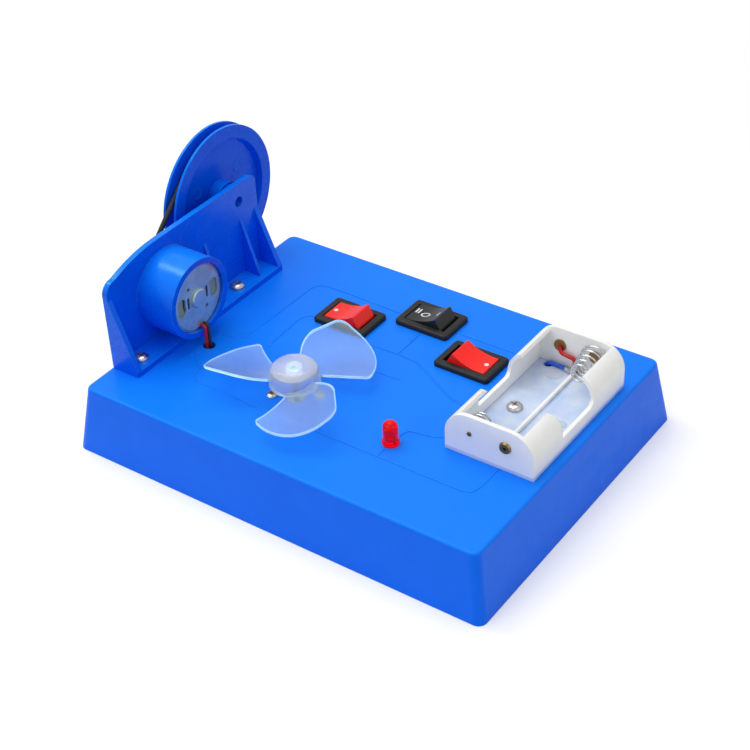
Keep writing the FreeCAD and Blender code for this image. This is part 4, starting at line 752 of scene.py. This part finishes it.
lamp_tint = (1.0, 0.002, 0.004, 1)
lamp_tint_deep = (0.88, 0.001, 0.003, 1)
lamp_sheen = (1.0, 0.35, 0.35, 1)
lamp_painted_glow = (1.0, 0.0, 0.004, 1)
leg_grey = (0.70, 0.69, 0.66, 1)

lamp_x = 25.8 * mm
lamp_y = -26.6 * mm
post_middle = 26.6 * mm
post_width = 0.55 * mm
post_depth = 0.5 * mm
post_height = 4.4 * mm
head_height = 0.7 * mm

lamp_red, surface = new_finish("lamp_red")
surface.inputs["Transmission Weight"].default_value = 0.72
surface.inputs["IOR"].default_value = 1.5
surface.inputs["Specular Tint"].default_value = lamp_sheen
surface.inputs["Emission Color"].default_value = lamp_painted_glow
tint = patches(lamp_red, 1.6 * mm, (1, 1, 0.5))
wire(lamp_red, two_colours(lamp_red, tint, lamp_tint, lamp_tint_deep),
     surface.inputs["Base Color"])
wire(lamp_red, between(lamp_red, grain(lamp_red, 0.8 * mm), 0.04, 0.10),
     surface.inputs["Roughness"])
# painted light: a faint red emission, in patches, brightens the tinted body
wire(lamp_red, between(lamp_red, tint, 0.14, 0.22, 0.0, 1.0),
     surface.inputs["Emission Strength"])
leg_steel = bright_steel("leg_steel", leg_grey, rough=0.25, size=0.4 * mm,
                         stretch=(1, 1, 0.1))
dress(lamp_red, "lamp")
dress(leg_steel, "lamp_legs")

posts = []
for side, head_width in ((-1, 1.7 * mm), (1, 1.0 * mm)):
    deselect()
    bpy.ops.mesh.primitive_cube_add(size=1, location=(lamp_x + side * mm, lamp_y, post_middle))
    post = bpy.context.object
    post.scale = (post_width, post_depth, post_height)
    bpy.ops.object.transform_apply(location=True, rotation=False, scale=True)
    open_at_top(post)
    bpy.ops.mesh.extrude_region_move(TRANSFORM_OT_translate={"value": (0, 0, head_height)})
    head_depth = head_width / 1.2
    bpy.ops.transform.resize(value=(head_width / post_width, head_depth / post_depth, 1))
    bpy.ops.mesh.inset(thickness=0.12 * mm)
    bpy.ops.mesh.extrude_region_move(TRANSFORM_OT_translate={"value": (0, 0, -0.3 * mm)})
    bpy.ops.object.mode_set(mode="OBJECT")
    post.data.materials.append(leg_steel)
    posts.append(post)
lead_frame = one_piece("lamp_lead_frame", posts)
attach(lead_frame, "base")

# ---------------------------------------------------------------- holder for two cells
# Thin white polypropylene. The blue of the base that shows through its thin floor is painted
# into the floor's colour. Brass eyelets hold the strap and the two steel springs.

holder_white = (0.975, 0.965, 0.92, 1)
holder_white_deep = (0.93, 0.925, 0.885, 1)
painted_show_through_blue = (0.40, 0.55, 0.86, 1)
eyelet_brown = (0.36, 0.20, 0.07, 1)
strap_grey = (0.62, 0.62, 0.60, 1)
spring_grey = (0.74, 0.74, 0.73, 1)

# heights over which the thin floor ends, and the floor with its ejector marks in millimetres
floor_ends = (25.1 * mm, 25.5 * mm)
floor_height = 25.0
floor_marks = ((51.2, 30.4, 2.9), (66.7, 8.4, 1.6), (51.2, -12.4, 2.9))

holder_plastic, surface = new_finish("holder_plastic")
surface.inputs["Subsurface Weight"].default_value = 0.35
surface.inputs["Subsurface Radius"].default_value = (1.0, 1.0, 1.0)
surface.inputs["Subsurface Scale"].default_value = 1.2 * mm
rounded, rim = soft_edges(holder_plastic, 0.4 * mm)
cloud = patches(holder_plastic, 7 * mm, detail=4)
white_plastic = two_colours(holder_plastic, cloud, holder_white, holder_white_deep)
# painted light: the blue seen through the thin floor is mixed into its colour, in patches
place = add_node(holder_plastic, "TexCoord")
thin = between(holder_plastic, one_way(holder_plastic, place.outputs["Object"], "Z"), 1.0, 0.0,
               *floor_ends)
thin = combine(holder_plastic, "MULTIPLY", thin,
               between(holder_plastic, cloud, 0.55, 0.8, 0, 1))
wire(holder_plastic, two_colours(holder_plastic, thin, white_plastic, painted_show_through_blue),
     surface.inputs["Base Color"])
wire(holder_plastic, between(holder_plastic, grain(holder_plastic, 3 * mm), 0.30, 0.42),
     surface.inputs["Roughness"])
sunk = relief(holder_plastic, grain(holder_plastic, 8 * mm, detail=1), 0.15 * mm, rounded)
skin = relief(holder_plastic, grain(holder_plastic, 0.3 * mm), 0.012 * mm, sunk)
wire(holder_plastic, skin, surface.inputs["Normal"])
dress(holder_plastic, "battery_holder")

marks = [ejector_mark((x, y, floor_height), radius, (0, 0, 1)) for x, y, radius in floor_marks]
holder_marks = one_piece("holder_ejector_marks", marks)
holder_marks.data.materials.append(holder_plastic)
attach(holder_marks, "base")

rivet_brass = bright_steel("rivet_brass", eyelet_brown, rough=0.34, size=0.5 * mm)
strap_steel = bright_steel("strap_steel", strap_grey, rough=0.30, size=3 * mm,
                           stretch=(1, 1, 8))
spring_steel = bright_steel("spring_steel", spring_grey, rough=0.16, size=0.6 * mm)
dress(rivet_brass, "holder_rivets")
dress(strap_steel, "contact_strap")
dress(spring_steel, "holder_springs")

# ---------------------------------------------------------------- leads
# Thin stranded wire in soft PVC, cut to length and stripped at both ends. Tin solder joins it to
# the tags of the switches, the legs of the lamp, the motors and the contacts of the holder.

insulation_red = (0.62, 0.010, 0.016, 1)
insulation_red_dirty = (0.45, 0.006, 0.012, 1)
insulation_black = (0.020, 0.018, 0.022, 1)
insulation_black_dirty = (0.04, 0.036, 0.042, 1)
insulation_blue = (0.012, 0.11, 0.74, 1)
insulation_blue_dirty = (0.008, 0.08, 0.60, 1)
tinned_copper = (0.62, 0.62, 0.60, 1)
solder_grey = (0.62, 0.62, 0.63, 1)

bare_from = (53.2 * mm, 53.5 * mm)
drop_radius = 0.95 * mm
tag_joint_z, leg_joint_z = 9.9 * mm, 12.2 * mm
tag_joints = ((-28.4, 22.0), (-21.4, 19.6), (21.0, 22.0), (28.0, 19.6), (28.4, 22.0),
              (3.7, 35.6), (-3.7, 35.6), (3.3, 38.0))
leg_joints = ((27.07, -26.6), (24.53, -26.6))


def soft_insulation(name, colour, deep):
    """Soft PVC: a waxy gloss with faint dirt and a dimpled skin."""
    finish, surface = new_finish(name)
    dirt = patches(finish, 1.5 * mm, detail=4)
    wire(finish, two_colours(finish, dirt, colour, deep), surface.inputs["Base Color"])
    wire(finish, between(finish, dirt, 0.30, 0.45, 0, 1), surface.inputs["Roughness"])
    wire(finish, relief(finish, grain(finish, 0.25 * mm), 0.015 * mm),
         surface.inputs["Normal"])
    return finish


lead_red = soft_insulation("lead_red", insulation_red, insulation_red_dirty)
lead_black = soft_insulation("lead_black", insulation_black, insulation_black_dirty)
lead_blue = soft_insulation("lead_blue", insulation_blue, insulation_blue_dirty)
dress(lead_red, "drive_lead_red", "fan_lead_red", "lamp_lead_red", "holder_lead_red")
dress(lead_black, "drive_lead_black", "fan_lead_black", "lamp_lead_black")
dress(lead_blue, "holder_lead_blue")

# the blue lead is stripped and tinned where it meets the back spring
surface = lead_blue.node_tree.nodes["Principled BSDF"]
place = add_node(lead_blue, "TexCoord")
bare = between(lead_blue, one_way(lead_blue, place.outputs["Object"], "X"), 0.0, 1.0, *bare_from)
insulated = surface.inputs["Base Color"].links[0].from_socket
wire(lead_blue, two_colours(lead_blue, bare, insulated, tinned_copper),
     surface.inputs["Base Color"])
wire(lead_blue, bare, surface.inputs["Metallic"])

solder = bright_steel("solder", solder_grey, rough=0.30, size=0.5 * mm)
joints = [(x * mm, y * mm, tag_joint_z) for x, y in tag_joints]
joints += [(x * mm, y * mm, leg_joint_z) for x, y in leg_joints]
drops = []
for number, spot in enumerate(joints, start=1):
    deselect()
    bpy.ops.mesh.primitive_uv_sphere_add(segments=20, ring_count=12, radius=drop_radius,
                                         location=spot)
    drop = bpy.context.object
    bpy.ops.object.transform_apply(location=True, rotation=False, scale=False)
    open_whole()
    bpy.ops.transform.resize(value=(0.9, 0.9, 1.25), center_override=spot)
    bpy.ops.transform.vertex_random(offset=0.05 * mm, uniform=0.4, normal=0.6, seed=number)
    bpy.ops.object.mode_set(mode="OBJECT")
    bpy.ops.object.shade_smooth()
    drop.data.materials.append(solder)
    drops.append(drop)
solder_joints = one_piece("solder_joints", drops)
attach(solder_joints, "base")
